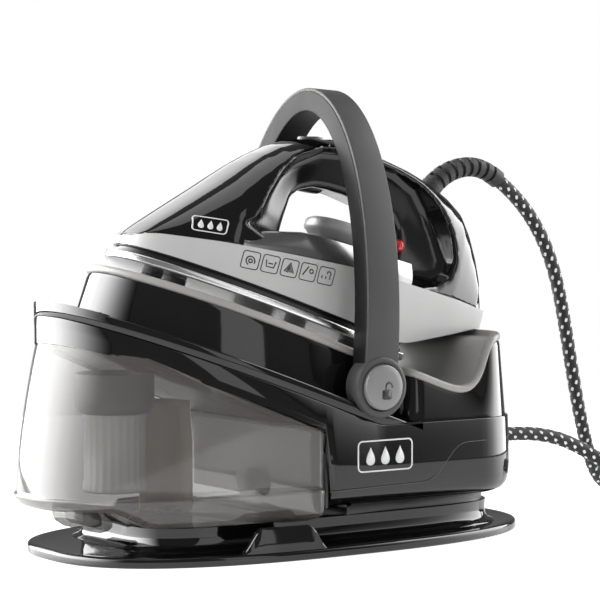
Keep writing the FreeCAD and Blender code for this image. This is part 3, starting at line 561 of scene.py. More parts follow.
def build_casings(mats):
    loop = casing_loop()

    def low(x, y):
        if x > BAY_WALL:
            return 29.2
        return tank_top(x) + 1.0

    def bottom(rise):
        return lambda x, y: low(x, y) + (rise if x > BAY_WALL else min(rise, 3.0))

    wall = [(inset, bottom(rise)) for inset, rise in
            ((18, 0.1), (9, 1.0), (4.6, 3.2), (1.8, 7.4), (0.5, 13), (0, 20))]
    wall += [(inset, lift(seam, rise)) for inset, rise in ((0, -0.8), (0.5, -0.15), (2.2, -0.15), (2.4, -4))]
    wall.append((18, lift(low, 1.5)))
    points, faces = ring_stack(loop, wall, False, False)
    front_band = [i for i, (x, y) in enumerate(loop) if x < BAY_WALL]
    count = len(loop)
    band_line = inset_loop(loop, 0.3)
    for index in front_band:
        for level in range(6):
            x, y = band_line[index]
            points[level * count + index] = (x, y, points[level * count + index][2])
    points = [lean(p) for p in points]
    lower = crease_smooth(make_mesh("lower_casing_shell", points, faces, mats["gloss"]), 50)
    finish_piece(lower, "base", "black_gloss", "lower_casing")
    under = [(x, y) for x, y in loop if x > -19]
    liner_points, liner_faces = ring_stack(under, [(12.0, 29.6), (12.0, 31.0)])
    liner = make_mesh("casing_floor", liner_points, liner_faces, mats["satin"])
    finish_piece(liner, "base", "black_satin")
    corners = ((-81, 30), (81, 30), (81, 78), (-81, 78))
    points = [(x, y, z) for x in (-18.5, -16.5) for y, z in corners]
    faces = [(0, 1, 2, 3), (4, 5, 6, 7), (0, 1, 5, 4), (1, 2, 6, 5), (2, 3, 7, 6), (3, 0, 4, 7)]
    wall_piece = make_mesh("tank_bay_wall", points, faces, mats["satin"], False)
    finish_piece(wall_piece, "base", "black_satin")
    front = [(x, y) for x, y in loop if x < -19]
    roof = ring_stack(front, [(2.6, lift(tank_top, 1.2)), (2.6, lift(tank_top, 2.6))])
    finish_piece(make_mesh("tank_bay_roof", *roof, mats["satin"]), "base", "black_satin")

    band = [(inset, lift(seam, rise)) for inset, rise in ((2.4, 0.1), (0.5, 0.15), (0, 0.8))]
    band += [(0.0, lift(ledge, -1.4)), (0.35, lift(ledge, -0.5)), (1.2, ledge), (4.5, ledge), (18, ledge)]
    points, faces = ring_stack(loop, band, False, False)
    keep = [f for f in faces if all(points[i][0] < 60 for i in f)]
    band_piece = crease_smooth(make_mesh("casing_band", points, keep, mats["gloss"]), 50)
    finish_piece(band_piece, "base", "black_gloss")


REST_WAVE = [(-200, 204.64), (40, 117.27), (47, 114.72), (62, 109.3), (78, 103.5), (86, 101.0), (93, 99.8),
             (100, 100.6), (106, 103.8), (111, 109.5), (115, 117), (119, 125.5), (124, 131.3), (132, 133.5),
             (146, 134), (160, 134)]


def wave(x):
    """Height of the underside of the rest's rim: down the slope, then up round the iron's heel."""
    xs, heights = zip(*REST_WAVE)
    spread = np.linspace(-3.5, 3.5, 9)
    return float(np.mean(np.interp(x + spread, xs, heights)))


def crown_loop():
    """The rest's outline seen from above: a rounded nose, a step out behind the hub and a rounded rear."""
    loop = []
    for step in range(61):
        turn = -math.pi / 2 + math.pi * step / 60
        loop.append((-14.6 - 128.7 * math.cos(turn), 68.5 * math.sin(turn)))
    right = [(43.7, 68.5), (47.5, 70.5), (49.5, 76), (53, 80.6), (59, 82)]
    rear = []
    for step in range(25):
        turn = math.radians(90 - 90 * step / 24)
        rear.append((113 + 41 * math.cos(turn), 41 + 41 * math.sin(turn)))
    loop += right + rear + [(x, -y) for x, y in reversed(rear)] + [(x, -y) for x, y in reversed(right)]
    return resample(loop, 3.0)


def rest_point(x, y, amount):
    """A point at a distance from the rim's underside: square to the slope ahead, upright behind the hub."""
    tilt = TILT * (1 - ease(clamp((x - 24) / 26)))
    return lean((x + amount * math.sin(tilt), y, wave(x) + amount * math.cos(tilt)))


def rest_rings(rings):
    """Points and faces through copies of the rest's outline; each ring is (inset, distance from the rim)."""
    loop = crown_loop()
    points = []
    for inset, amount in rings:
        for x, y in inset_loop(loop, inset):
            points.append(rest_point(x, y, amount(x) if callable(amount) else amount))
    return points, skin(len(rings), len(loop))


def build_crown(mats):
    def down(x):
        return -30.4 if x < 48 else min(-4.0, 82.1 - wave(x))

    points, faces = rest_rings([(0.0, down), (0.0, -3), (0.5, -0.6), (2.2, -0.4)])
    add("crown_wall", (points, faces), mats["gloss"], "base", "black_gloss", "upper_casing", crease=50)
    rim = [(2.6, -0.5), (0.2, 0.0), (-0.7, 0.7), (-1.0, 2.6), (-0.7, 4.2), (0.4, 4.9), (2.6, 5.0),
           (4.6, 4.6), (5.4, 3.4), (6.4, 1.6), (8.0, 1.0)]
    points, faces = rest_rings(rim)
    tray = crease_smooth(make_mesh("rest_tray_shell", points, faces, mats["warm"]), 60)
    finish_piece(tray, "base", "warm_grey", "rest_tray")
    loop = crown_loop()
    edge = sorted((x, y) for x, y in loop if y > 0)
    xs, sides = zip(*edge)
    points = []
    lines = np.linspace(-134, 147, 120)
    for x in lines:
        half = float(np.interp(x, xs, sides)) - 7.5
        points += [rest_point(x, half * k / 10, 1.2) for k in range(-10, 11)]
    add("rest_floor", (points, skin(len(lines), 21, False)), mats["warm"], "base", "warm_grey")


# ---------------------------------------------------------------- tank

def build_tank(mats):
    front, rear, half = -196.0, -20.8, 83.5
    loop = resample(nose_line(front, rear, half, 60), 4.0)

    def wall(share):
        return lambda x, y: 41 + share * (tank_top(x) - 0.6 - 41)

    def low(rise):
        """The tank's underside: higher ahead of a step at the front."""
        def height(x, y):
            return 22.6 + 11 * ease(clamp((-134 - x) / 26)) + rise
        return height

    rings = [(30, low(0)), (12, low(0)), (7, low(0.4)), (4, low(1.6)), (2.2, low(3.4)), (1.0, low(5.2))]
    rings += [(0.2, 39.6), (0, 40.4), (0.0, 41.6), (0.4, 42.3), (1.1, 42.6)]
    rings += [(1.2, wall(s)) for s in (0.03, 0.1, 0.2, 0.3, 0.4, 0.5, 0.6, 0.7, 0.8, 0.9, 0.96)]
    rings += [(1.2, wall(0.992)), (1.9, wall(1.0)), (3.4, wall(1.0))]
    points, faces = ring_stack(loop, rings, True, False)
    leaned = []
    for x, y, z in points:
        ahead = clamp((-60 - x) / 136)
        leaned.append((x + ahead * (max(z - 42, 0.0) / 118) ** 1.5 * 22, y, z))
    shell = make_mesh("tank_clear_shell", leaned, faces, mats["smoke"])
    finish_piece(shell, "tank", "smoke", "tank_shell")
    build_tank_inside(mats)


def build_tank_inside(mats):
    """The filling funnel, the filter under it, a guide wall and the float."""
    centre = (-129.5, 0)
    funnel = [(20, 92.5), (22.5, 92.0), (24, 93), (25.5, 97), (26, 103), (26, 118), (24.5, 118), (24, 100),
              (20, 96)]
    add("filler_cup", turned(funnel, centre), mats["shade"],
        "tank", "funnel_grey", "filler_funnel", crease=50)
    ribbed = [(12, 40.6), (20, 41), (21, 42), (21, 47), (20.2, 48), (20.2, 88), (21, 89), (21, 92),
              (18, 92.4)]
    add("filter_sleeve", turned(ribbed, centre, 96, 24, 0.5), mats["white"],
        "tank", "pump_white", "filter_cartridge", crease=40)
    wall_line = [(-103, 14), (-96, 16), (-84, 16), (-78, 12), (-76, 4), (-76, -10)]
    heights = (26, 40, 70, 92, 98)
    points = [(x - (2 if z > 90 else 0), y, z) for x, y in wall_line for z in heights]
    guide = make_mesh("float_guide", points, skin(len(wall_line), len(heights), False), mats["beige"])
    apply(guide, "SOLIDIFY", thickness=1.6 * MM)
    finish_piece(guide, "tank", "pump_white")
    float_profile = [(2, 25.6), (8, 25.6), (9, 26.5), (9, 32.5), (8, 33.6), (2, 33.6)]
    add("float_disc", turned(float_profile, (-70, 30)), mats["white"],
        "tank", "pump_white", "float_magnet", crease=50)
    build_tank_latch(mats)


def bar_sections(places):
    """Four-cornered cross-sections of a bar; each place is (x, low, high, half-width)."""
    rings = []
    for x, low, high, half in places:
        rings.append([(x, -half, low), (x, -half, high), (x, half, high), (x, half, low)])
    return rings


def build_tank_latch(mats):
    latch = bar_sections(((-168, 27.5, 33, 15), (-165, 22.6, 33, 17), (-158, 18.5, 33, 18),
                          (-150, 16.8, 31, 18), (-144, 17.5, 26, 17), (-139.5, 19.6, 22.2, 15)))
    lever = make_mesh("latch_lever", *section_loft(latch), mats["smoke"])
    apply(lever, "BEVEL", width=1.0 * MM, segments=3, angle_limit=math.radians(30))
    finish_piece(crease_smooth(lever, 50), "tank_latch", "black_satin", "tank_latch")
    hook = bar_sections(((-160, 24, 31, 12), (-156, 21, 32, 12), (-150, 20, 31, 12), (-146, 20.5, 26, 12)))
    core = make_mesh("latch_core", *section_loft(hook), mats["satin"])
    apply(core, "BEVEL", width=0.8 * MM, segments=2, angle_limit=math.radians(30))
    finish_piece(core, "tank_latch", "black_satin")


# ---------------------------------------------------------------- carry handle

# The handle's arch: half its width, its rise, and the height where its straight ends stop.
ARCH_HALF = 88
ARCH_RISE = 176
ARCH_BASE = 130
HANDLE_LEAN = math.radians(3.5)


def bail_frames(count=72):
    """Points along the handle's arch, from one hub to the other, and the outward normal at each."""
    turns = np.linspace(0, math.pi, count)
    line = [(ARCH_HALF, z) for z in np.linspace(HUB[1], ARCH_BASE, 6)[:-1]]
    line += [(ARCH_HALF * math.cos(t), ARCH_BASE + ARCH_RISE * math.sin(t)) for t in turns]
    line += [(-ARCH_HALF, z) for z in np.linspace(ARCH_BASE, HUB[1], 6)[1:]]
    points = np.array(line)
    along = np.gradient(points, axis=0)
    along /= np.linalg.norm(along, axis=1, keepdims=True)
    return points, np.stack([along[:, 1], -along[:, 0]], 1)


def bail_piece(name, near, far, wide, round_edge, material):
    """A rounded band that follows the arch between two depths below its outer face."""
    points_line, normals = bail_frames()
    section = []
    for corner_x, corner_d, start in ((1, -1, -90), (1, 1, 0), (-1, 1, 90), (-1, -1, 180)):
        for step in range(5):
            turn = math.radians(start + 22.5 * step)
            section.append((corner_x * (wide / 2 - round_edge) + round_edge * math.cos(turn),
                            corner_d * ((far - near) / 2 - round_edge) + round_edge * math.sin(turn)))
    points = []
    back, upright = math.sin(HANDLE_LEAN), math.cos(HANDLE_LEAN)
    for (y, z), (ny, nz) in zip(points_line, normals):
        narrow = 1 - 0.16 * max(0.0, (z - ARCH_BASE) / ARCH_RISE) ** 1.5
        for across, deep in section:
            depth = (near + far) / 2 - deep
            px, py, pz = across * narrow, y - ny * depth, z - nz * depth
            if py * y < 0:
                py = 0
            dz = pz - HUB[1]
            points.append((HUB[0] + px * upright + dz * back, py, HUB[1] - px * back + dz * upright))
    rows, width = len(points_line), len(section)
    return make_mesh(name, points, skin(rows, width) + end_caps(rows, width), material)


def disc(name, profile, material, sign):
    """A turned piece on the hub's axis; the profile is (radius, distance from the middle plane)."""
    points, faces = turned(profile, HUB)
    return make_mesh(name, [(x, sign * out, z) for x, z, out in points], faces, material)


def build_handle(mats):
    outer = bail_piece("handle_outer_shell", 0.0, 2.8, 26.2, 1.2, mats["handle"])
    finish_piece(outer, "carry_handle", "handle_grey", "handle_outer")
    inner = bail_piece("handle_inner_shell", 2.0, 16.0, 26.8, 1.2, mats["matte"])
    finish_piece(inner, "carry_handle", "black_satin", "handle_inner")
    for side, sign in (("left", -1), ("right", 1)):
        hub = [(6, 74.2), (18.5, 74.2), (20, 75.5), (20.3, 82), (20.3, 87.4), (19.6, 88.6), (17.4, 89.2),
               (16.0, 88.8), (15.6, 87.6), (15.5, 84)]
        piece = crease_smooth(disc(f"hub_ring_{side}", hub, mats["handle"], sign), 45)
        finish_piece(piece, "carry_handle", "handle_grey", f"hub_{side}")
        cap = [(0.01, 86), (14.8, 86), (15.0, 87), (15.0, 90.6), (14.6, 91.6), (13.6, 92.2), (10, 92.9),
               (5, 93.2), (0.01, 93.3)]
        button = crease_smooth(disc(f"lock_cap_{side}", cap, mats["button"], sign), 45)
        finish_piece(button, f"lock_button_{side}", "button_grey", f"lock_button_{side}")


# ---------------------------------------------------------------- iron (along, side, height in its own frame)

def curve(pairs):
    xs, values = zip(*pairs)
    return lambda x: float(np.interp(x, xs, values))


RIDGE = curve([(0, 3), (4, 7.5), (12, 16.5), (20, 26), (38, 46), (56, 66), (74, 87), (84, 97.5),
               (94, 106.5), (104, 113.5), (114, 118.8), (124, 122.5), (139, 126), (160, 127.2), (186, 127.5),
               (203, 127.3), (221, 125.6), (237, 122), (250, 117), (260, 108), (270, 95), (280, 77),
               (288, 60), (293, 48)])
SKIRT_TOP = curve([(0, 8), (6, 11.5), (12, 15), (18, 17), (55, 24.5), (100, 32), (148, 39.5), (190, 44),
                   (252, 50), (293, 52)])
SKIRT_REAR = curve([(160, 56.8), (190, 54.5), (216, 50.5), (250, 44), (280, 36.5), (293, 32)])
SKIRT_LOW = curve([(0, 5), (200, 4.6), (208, 5.5), (216, 8.5), (256, 27.5), (272, 35.5), (282, 39.5)])


def sole_half(along):
    length, widest, half = 216.0, 155.5, 57
    if along <= widest:
        return half * math.sqrt(max(1 - (1 - along / widest) ** 1.9, 0.0))
    return half * (1 - 0.2 * ((along - widest) / (length - widest)) ** 2)


def skirt_half(along):
    if along <= 160:
        return sole_half(max(along - 4, 0) * 1.02)
    return SKIRT_REAR(along)


def stations(start, end, count, power=1.7):
    return [start + (end - start) * (i / count) ** power for i in range(count + 1)]


def sole_loop():
    side = [(a, sole_half(a)) for a in stations(0, 216, 64)]
    return side + [(a, -w) for a, w in reversed(side[1:])]


def section_loft(rings):
    """Points and faces through cross-sections with the same number of points, closed at both ends."""
    rows, width = len(rings), len(rings[0])
    return [p for ring in rings for p in ring], skin(rows, width) + end_caps(rows, width)


def merge_shapes(shapes):
    points, faces = [], []
    for more_points, more_faces in shapes:
        faces += [tuple(i + len(points) for i in face) for face in more_faces]
        points += more_points
    return points, faces


def build_sole(mats):
    loop = sole_loop()
    rings = [(3.0, -5.0), (1.0, -5.0), (0.35, -4.7), (0.0, -4.0), (0.0, -0.8), (0.4, -0.15), (1.2, 0.0)]
    add("soleplate_shell", ring_stack(loop, rings), mats["steel"],
        "iron", "sole_steel", "soleplate", crease=50, on_iron=True)
    rings = [(4.0, 0.0), (3.6, 2.2), (6.5, 2.4), (6.5, 4.0), (5.0, 4.4), (5.0, 6)]
    add("heat_shield_edge", ring_stack(loop, rings), mats["satin"],
        "iron", "black_satin", "heat_shield", crease=50, on_iron=True)


def skirt_point(along, share, sign, out=0.0):
    """A point of the skirt's outside, share 0 at its lower edge and 1 at its upper edge."""
    low, high = SKIRT_LOW(along), SKIRT_TOP(along)
    rise = share * (high - low)
    half = skirt_half(along) + 0.6 - 0.055 * rise - 2.2 * max(0.0, share - 0.9) ** 1.3 + out
    return (along, sign * max(half, 0.0), low + rise)


def build_skirt(mats):
    shares = [0.0, 0.02, 0.06, 0.15, 0.3, 0.5, 0.7, 0.85, 0.93, 0.97, 1.0]
    line = [(a, 1) for a in reversed(stations(3.5, 279, 90))] + [(a, -1) for a in stations(3.5, 279, 90)[1:]]
    points = []
    for along, sign in line:
        x, y, z = skirt_point(along, 0.0, sign, -2.5)
        points.append((x + 1.5, y, z + 0.6))
        points += [skirt_point(along, share, sign) for share in shares]
        x, y, z = skirt_point(along, 1.0, sign, -3.0)
        points.append((x + 1.0, y, z + 0.3))
    faces = skin(len(line), len(shares) + 2, False)
    add("skirt_shell", (points, faces), mats["silver"], "iron", "silver", "skirt", crease=60, on_iron=True)
    points = []
    under = stations(196, 279, 30, 1.0)
    for along in under:
        for side in (-1, -0.6, 0, 0.6, 1):
            x, y, z = skirt_point(along, 0.02, 1, -1.2)
            points.append((x, y * side, z + 0.4))
    add("heel_underside", (points, skin(len(under), 5, False)), mats["satin"],
        "iron", "black_satin", on_iron=True)


SHELL_END = 285.0
SCOOP = [(66, 42), (74, 46), (79, 54), (86, 70), (94, 86), (103, 98), (122, 113), (146, 120), (185, 121),
         (206, 116), (221, 104), (233, 89), (241, 75), (241, 64), (231, 57), (200, 53), (150, 48), (110, 44)]
OPENING = [(112, 15), (111.5, 58), (112.5, 76), (118, 83), (128, 88.5), (140, 91), (155, 92.5), (185, 92.5),
           (196, 90), (203, 84), (206, 74), (205, 60), (203, 15)]
SADDLE_TOP = curve([(69, 33.5), (73, 36.5), (86, 41.5), (98, 45.5), (112, 50), (126, 52.5), (156, 55),
                    (203, 60)])


def body_half(along):
    """Half-width of the black moulding where it meets the skirt."""
    tuck = clamp((along - 64) / 26) * 5.5
    return max(skirt_half(along) - 2.2 - tuck, 1.0)


def outline_distance(outline, along, height):
    """Distance from a closed side-view outline, negative inside it."""
    corners = np.array(outline, float)
    nearest = np.full(along.shape, 1e9)
    inside = np.zeros(along.shape, bool)
    for (ax, az), (bx, bz) in zip(corners, np.roll(corners, -1, 0)):
        dx, dz = bx - ax, bz - az
        share = np.clip(((along - ax) * dx + (height - az) * dz) / (dx * dx + dz * dz), 0, 1)
        nearest = np.minimum(nearest, np.hypot(along - ax - share * dx, height - az - share * dz))
        if az != bz:
            inside ^= ((az > height) != (bz > height)) & (along < dx * (height - az) / dz + ax)
    return np.where(inside, -nearest, nearest)


def smooth_max(a, b, blend):
    return np.maximum(a, b) + np.maximum(blend - np.abs(a - b), 0) ** 2 / (4 * blend)


def waist(along, height):
    """Half-width of the hollowed sides round the finger opening."""
    ahead = 0.5 * np.maximum(112 - along, 0) * np.clip((104 - height) / 50, 0, 1)
    behind = 0.5 * np.maximum(along - 206, 0) * np.clip((100 - height) / 50, 0, 1)
    return 15.8 + ahead + behind


def shell_field(along, side, height):
    """Negative inside the black moulding: an arched body, hollowed at the sides and opened for fingers."""
    marks = np.arange(0, 294.0)
    half = np.interp(along, marks, [body_half(a) for a in marks])
    low = np.interp(along, marks, [SKIRT_TOP(a) - 1.5 for a in marks])
    low = np.where(along > 278, 39.0, low)
    top = np.maximum(np.interp(along, marks, [RIDGE(a) for a in marks]), low + 2)
    rise = np.clip((height - low) / (top - low), 0, None)
    arch = ((np.abs(side) / half) ** ARCH_POWER + rise ** ARCH_POWER) ** (1 / ARCH_POWER) - 1
    field = arch * np.minimum(half, top - low) * 0.8
    field = smooth_max(field, low - height, 1.0)
    field = smooth_max(field, along - SHELL_END, 2.0)
    field = smooth_max(field, 3.0 - along, 1.0)
    scoop = outline_distance(SCOOP, along[:, :1, :], height[:, :1, :])
    spread = 2.2 * np.logaddexp(0, (scoop + 1.0) / 1.6) * 1.6
    hollow = np.abs(side) - waist(along, height) - spread
    field = smooth_max(field, hollow, 3.0)
    opening = outline_distance(OPENING, along[:, :1, :], height[:, :1, :])
    return smooth_max(field, -opening + 0 * side, 6.0)


def surface_net(field, low, high, step):
    """Points and quads where a field changes sign on a regular grid, placed by its values."""
    axes = [np.arange(a, b + step, step) for a, b in zip(low, high)]
    value = field(*np.meshgrid(*axes, indexing="ij"))
    cells = tuple(n - 1 for n in value.shape)
    total, hits, crossings = np.zeros(cells + (3,)), np.zeros(cells), []
    for axis in range(3):
        near = np.take(value, range(value.shape[axis] - 1), axis)
        far = np.take(value, range(1, value.shape[axis]), axis)
        crossed = (near < 0) != (far < 0)
        crossings.append(crossed)
        places = np.stack(np.indices(near.shape), -1).astype(float)
        places[..., axis] += np.where(crossed, near / np.where(crossed, near - far, 1), 0)
        others = [k for k in range(3) if k != axis]
        for first in (0, 1):
            for second in (0, 1):
                window = [slice(None)] * 3
                window[others[0]] = slice(first, first + cells[others[0]])
                window[others[1]] = slice(second, second + cells[others[1]])
                total += places[tuple(window)] * crossed[tuple(window)][..., None]
                hits += crossed[tuple(window)]
    used = hits > 0
    index = np.full(cells, -1)
    index[used] = np.arange(int(used.sum()))
    points = total[used] / hits[used][:, None] * step + np.array(low)
    faces = []
    for axis in range(3):
        others = [k for k in range(3) if k != axis]
        for edge in np.argwhere(crossings[axis]):
            ring = []
            for first, second in ((1, 1), (0, 1), (0, 0), (1, 0)):
                cell = edge.copy()
                cell[others[0]] -= first
                cell[others[1]] -= second
                ring.append(tuple(cell))
            faces.append([int(index[c]) for c in ring])
    return [tuple(p) for p in points], faces


def build_body(mats):
    """The black shells: nose, handle and heel as one smooth moulding."""
    low, high, step = (-2.0, -59.1, 3.0), (292.0, 59.1, 134.0), 1.5
    body = make_mesh("iron_shell", *surface_net(shell_field, low, high, step), mats["shell"])
    apply(body, "SMOOTH", factor=0.5, iterations=4)
    inner = body.data.attributes.new("inner", "FLOAT", "POINT")
    places = np.array([v.co for v in body.data.vertices]) / MM
    scoop = outline_distance(SCOOP, places[:, 0], places[:, 2])
    beside = np.abs(places[:, 1]) < waist(places[:, 0], places[:, 2]) + 4
    below = places[:, 2] < 112
    values = np.where(beside & below, np.clip(0.5 - scoop / 1.5, 0, 1), 0.0)
    inner.data.foreach_set("value", values.astype(np.float32))
    place_on_iron(body)
    finish_piece(body, "iron", "black_gloss", "front_shell", "handle_shell", "rear_shell")
    build_saddle(mats)
    build_pad(mats)


def build_saddle(mats):
    """The dark metallic band over the skirt, below the finger opening."""
    saddle = []
    for along in stations(69, 203, 44, 1.0):
        low_edge, high_edge = SKIRT_TOP(along) - 1.0, SADDLE_TOP(along)
        wide = skirt_half(along) - 2.4
        top = wide - (2.0 + 5.0 * min(1.0, (along - 69) / 6))
        ring = [(along, -wide, low_edge), (along, -wide + 0.4, low_edge + 1.0)]
        for share in (0.2, 0.4, 0.6, 0.8, 0.93, 1.0):
            height = low_edge + 1 + (high_edge - low_edge - 1) * share
            ring.append((along, -wide + (wide - top) * share ** 1.5, height))
        ring.append((along, -top + 1.2, high_edge + 0.4))
        ring.append((along, -top + 6, high_edge + 1.2))
        ring += [(x, -y, z) for x, y, z in reversed(ring)]
        saddle.append(ring)
    add("saddle_shell", section_loft(saddle), mats["dusk"],
        "iron", "black_gloss", "saddle", crease=35, on_iron=True)


def crest(along, side):
    """Height of the arched body over a point of its plan."""
    low = SKIRT_TOP(along) - 1.5
    share = max(0.0, 1 - (abs(side) / body_half(along)) ** ARCH_POWER)
    return low + (RIDGE(along) - low) * share ** (1 / ARCH_POWER)


def flank(along, height):
    """Half-width of the arched body at a height."""
    low = SKIRT_TOP(along) - 1.5
    share = max(0.0, 1 - ((height - low) / (RIDGE(along) - low)) ** ARCH_POWER)
    return body_half(along) * share ** (1 / ARCH_POWER)


def build_pad(mats):
    """The textured grip strip along the top of the handle, and the boost key ahead of it."""
    points = []
    rows = stations(132, 222, 120, 1.0)
    columns = np.linspace(-1, 1, 33)
    for row, along in enumerate(rows):
        end = min(row, len(rows) - 1 - row) / 14
        half = 9.2 * math.sqrt(max(0.02, 1 - (1 - min(1.0, end)) ** 2))
        for column, share in enumerate(columns):
            side = half * share
            proud = 0.9 * min(1.0, (1 - abs(share)) * 6) * min(1.0, end * 4)
            dimple = 0.25 if (row // 2 + column // 2) % 2 and row % 2 and column % 2 else 0.0
            points.append((along, side, crest(along, side) + proud - dimple))
    faces = skin(len(rows), len(columns), False)
    add("grip_strip", (points, faces), mats["grip"], "iron", "rubber", "grip_pad", on_iron=True)
    outline = superellipse(9, 5.6, 2.6, 48, x0=122.5)
    rings = [(inset, lift(crest, rise)) for inset, rise in ((0, -3), (0, 0.9), (0.4, 1.6), (1.2, 1.1))]
    points, faces = ring_stack(outline, rings)
    add("boost_key", (points, faces), mats["shade"],
        "boost_button", "silver", "boost_button", crease=50, on_iron=True)


def build_controls(mats):
    centre = (168, 0)
    rim = [(0.01, 60.6), (18, 60.6), (19.5, 61.4), (23.2, 65.4), (24.8, 66.6), (25.2, 68), (25.2, 71.4),
           (24.6, 73.0), (23.0, 74.0), (20.6, 74.0), (20.2, 73.4), (0.01, 73.3)]
    add("dial_knob", turned(rim, centre, 96), mats["silver"],
        "steam_dial", "silver", "steam_dial", crease=40, on_iron=True)
    face_disc = [(0.01, 74.15), (19.6, 74.15), (19.8, 73.5)]
    add("dial_face", turned(face_disc, centre, 96), mats["satin"], "steam_dial", "silver", on_iron=True)
    collar = [(22, 56.5), (20.5, 57.8), (18.5, 59), (18, 60.4), (17, 60.5)]
    add("dial_seat", turned(collar, centre, 96), mats["satin"],
        "iron", "black_satin", "dial_collar", crease=50, on_iron=True)
    lamp = place_on_iron(ball("pilot_lens", (209, -14.0, 74.5), (4.4, 4.2, 5.0), mats["lamp"]))
    finish_piece(lamp, "iron", "lamp_red", "pilot_light")
    trigger = []
    turns = np.linspace(0, 2 * math.pi, 17)[:-1]
    for along, low, high, half in ((115, 86, 90, 3.2), (118, 84, 92, 4.6), (126, 84.8, 94, 5),
                                   (134, 86.5, 95, 5), (141, 88, 95, 4.6), (143, 90, 94, 3)):
        middle, reach = (low + high) / 2, (high - low) / 2
        trigger.append([(along, half * math.cos(t), middle + reach * math.sin(t)) for t in turns])
    piece = make_mesh("trigger_lever", *section_loft(trigger), mats["satin"])
    apply(piece, "SUBSURF", levels=2, render_levels=2)
    finish_piece(place_on_iron(piece), "steam_trigger", "black_satin", "steam_trigger")


def ball(name, centre, radii, material, rows=24):
    """A rounded lens with its own radius in each direction."""
    points = []
    for row in range(rows + 1):
        tilt = math.pi * row / rows
        for step in range(rows * 2):
            turn = math.pi * step / rows
            out = (math.sin(tilt) * math.cos(turn), math.sin(tilt) * math.sin(turn), math.cos(tilt))
            points.append(tuple(c + r * o for c, r, o in zip(centre, radii, out)))
    return make_mesh(name, points, skin(rows + 1, rows * 2), material)


# ---------------------------------------------------------------- marks

def ribbon(paths, place, width, rise=0.15):
    """Fine raised lines: each path is (points, closed) in the surface's own two directions."""
    points, faces = [], []
    for path, closed in paths:
        line = np.array(path, float)
        count, first = len(line), len(points)
        ahead = np.roll(line, -1, 0) - np.roll(line, 1, 0) if closed else np.gradient(line, axis=0)
        ahead /= np.maximum(np.linalg.norm(ahead, axis=1, keepdims=True), 1e-9)
        normal = np.stack([-ahead[:, 1], ahead[:, 0]], 1) * width / 2
        for point, out in zip(line, normal):
            points += [place(*(point - out), -0.5), place(*(point - out), rise), place(*(point + out), rise),
                       place(*(point + out), -0.5)]
        for step in range(count if closed else count - 1):
            a, b = first + step * 4, first + (step + 1) % count * 4
            faces += [(a + k, a + (k + 1) % 4, b + (k + 1) % 4, b + k) for k in range(4)]
    return points, faces


def patch(outline, place, rise=0.15):
    """A filled raised shape with a fine edge."""
    count = len(outline)
    middle = np.mean(np.array(outline, float), axis=0)
    points = [place(u, v, height) for height in (-0.5, rise) for u, v in outline]
    points.append(place(*middle, rise))
    faces = [(k, (k + 1) % count, count + (k + 1) % count, count + k) for k in range(count)]
    faces += [(count + k, count + (k + 1) % count, 2 * count) for k in range(count)]
    return points, faces


def rounded_box(u, v, wide, high, radius, slant=0.0):
    outline = []
    for cu, cv, start in ((1, 1, 0), (-1, 1, 90), (-1, -1, 180), (1, -1, 270)):
        for step in range(6):
            turn = math.radians(start + 18 * step)
            x = cu * (wide / 2 - radius) + radius * math.cos(turn)
            y = cv * (high / 2 - radius) + radius * math.sin(turn)
            outline.append((u + x, v + y + slant * x))
    sides = zip(outline, outline[1:] + outline[:1])
    return [tuple(np.array(a) + (np.array(b) - a) * k / 4) for a, b in sides for k in range(4)]


def droplet(u, v, size):
    """A generic water-drop outline."""
    outline = []
    for step in range(28):
        turn = 2 * math.pi * step / 28
        pinch = math.sin(turn / 2) ** 1.6
        outline.append((u + 0.42 * size * math.sin(turn) * pinch, v + 0.5 * size * math.cos(turn)))
    return outline


def arc_path(u, v, radius, start, end, count=14):
    turns = np.radians(np.linspace(start, end, count))
    return [(u + radius * math.cos(t), v + radius * math.sin(t)) for t in turns]


def on_skirt(along, height, rise):
    share = (height - SKIRT_LOW(along)) / (SKIRT_TOP(along) - SKIRT_LOW(along))
    return skirt_point(along, share, -1, rise)


def on_nose(along, height, rise):
    return (along, -(flank(along, height) + rise + 0.15), height)


def on_button(u, v, rise):
    return (HUB[0] + u, -(93.25 + rise), HUB[1] + v)


def on_case(x, z, rise):
    inward = max(0.0, x - 113)
    half = 41 + math.sqrt(max(43 ** 2 - inward ** 2, 0.0))
    return lean((x, -(half + rise + 0.05), z))


def skirt_glyph(number, u, v):
    """The lines of one small symbol on the skirt: dial, iron, peak, slope with sun, or steam."""
    if number == 0:
        return [(arc_path(u, v - 0.5, 3.0, -20, 250), False), (arc_path(u, v - 0.5, 1.2, 0, 340), True)]
    if number == 1:
        bowl = [(u - 3.4, v + 2), (u - 2.6, v - 2.2), (u + 2.6, v - 1.8), (u + 3.4, v + 2.6)]
        return [(bowl, False), ([(u - 1.6, v + 0.2), (u + 1.6, v + 0.6)], False)]
    if number == 2:
        peaks = [[(u - 3.4 + k, v - 3.2), (u, v + 3.8 - k), (u + 3.4 - k, v - 2.6)] for k in (0, 1.4, 2.6)]
        return [(peak, False) for peak in peaks]
    if number == 3:
        slope = [(u - 3.6, v - 3), (u - 0.6, v + 3.6)]
        return [(slope, False), (arc_path(u + 2.2, v + 1.2, 1.3, 0, 340), True)]
    puffs = [(u - 3 + 3 * k, v - 2.4 + 0.4 * k) for k in range(3)]
    lines = [([(x, y), (x, y + 1.8)], False) for x, y in puffs]
    return lines + [(arc_path(u + 1.8, v + 2.0, 1.5, -60, 200), False)]


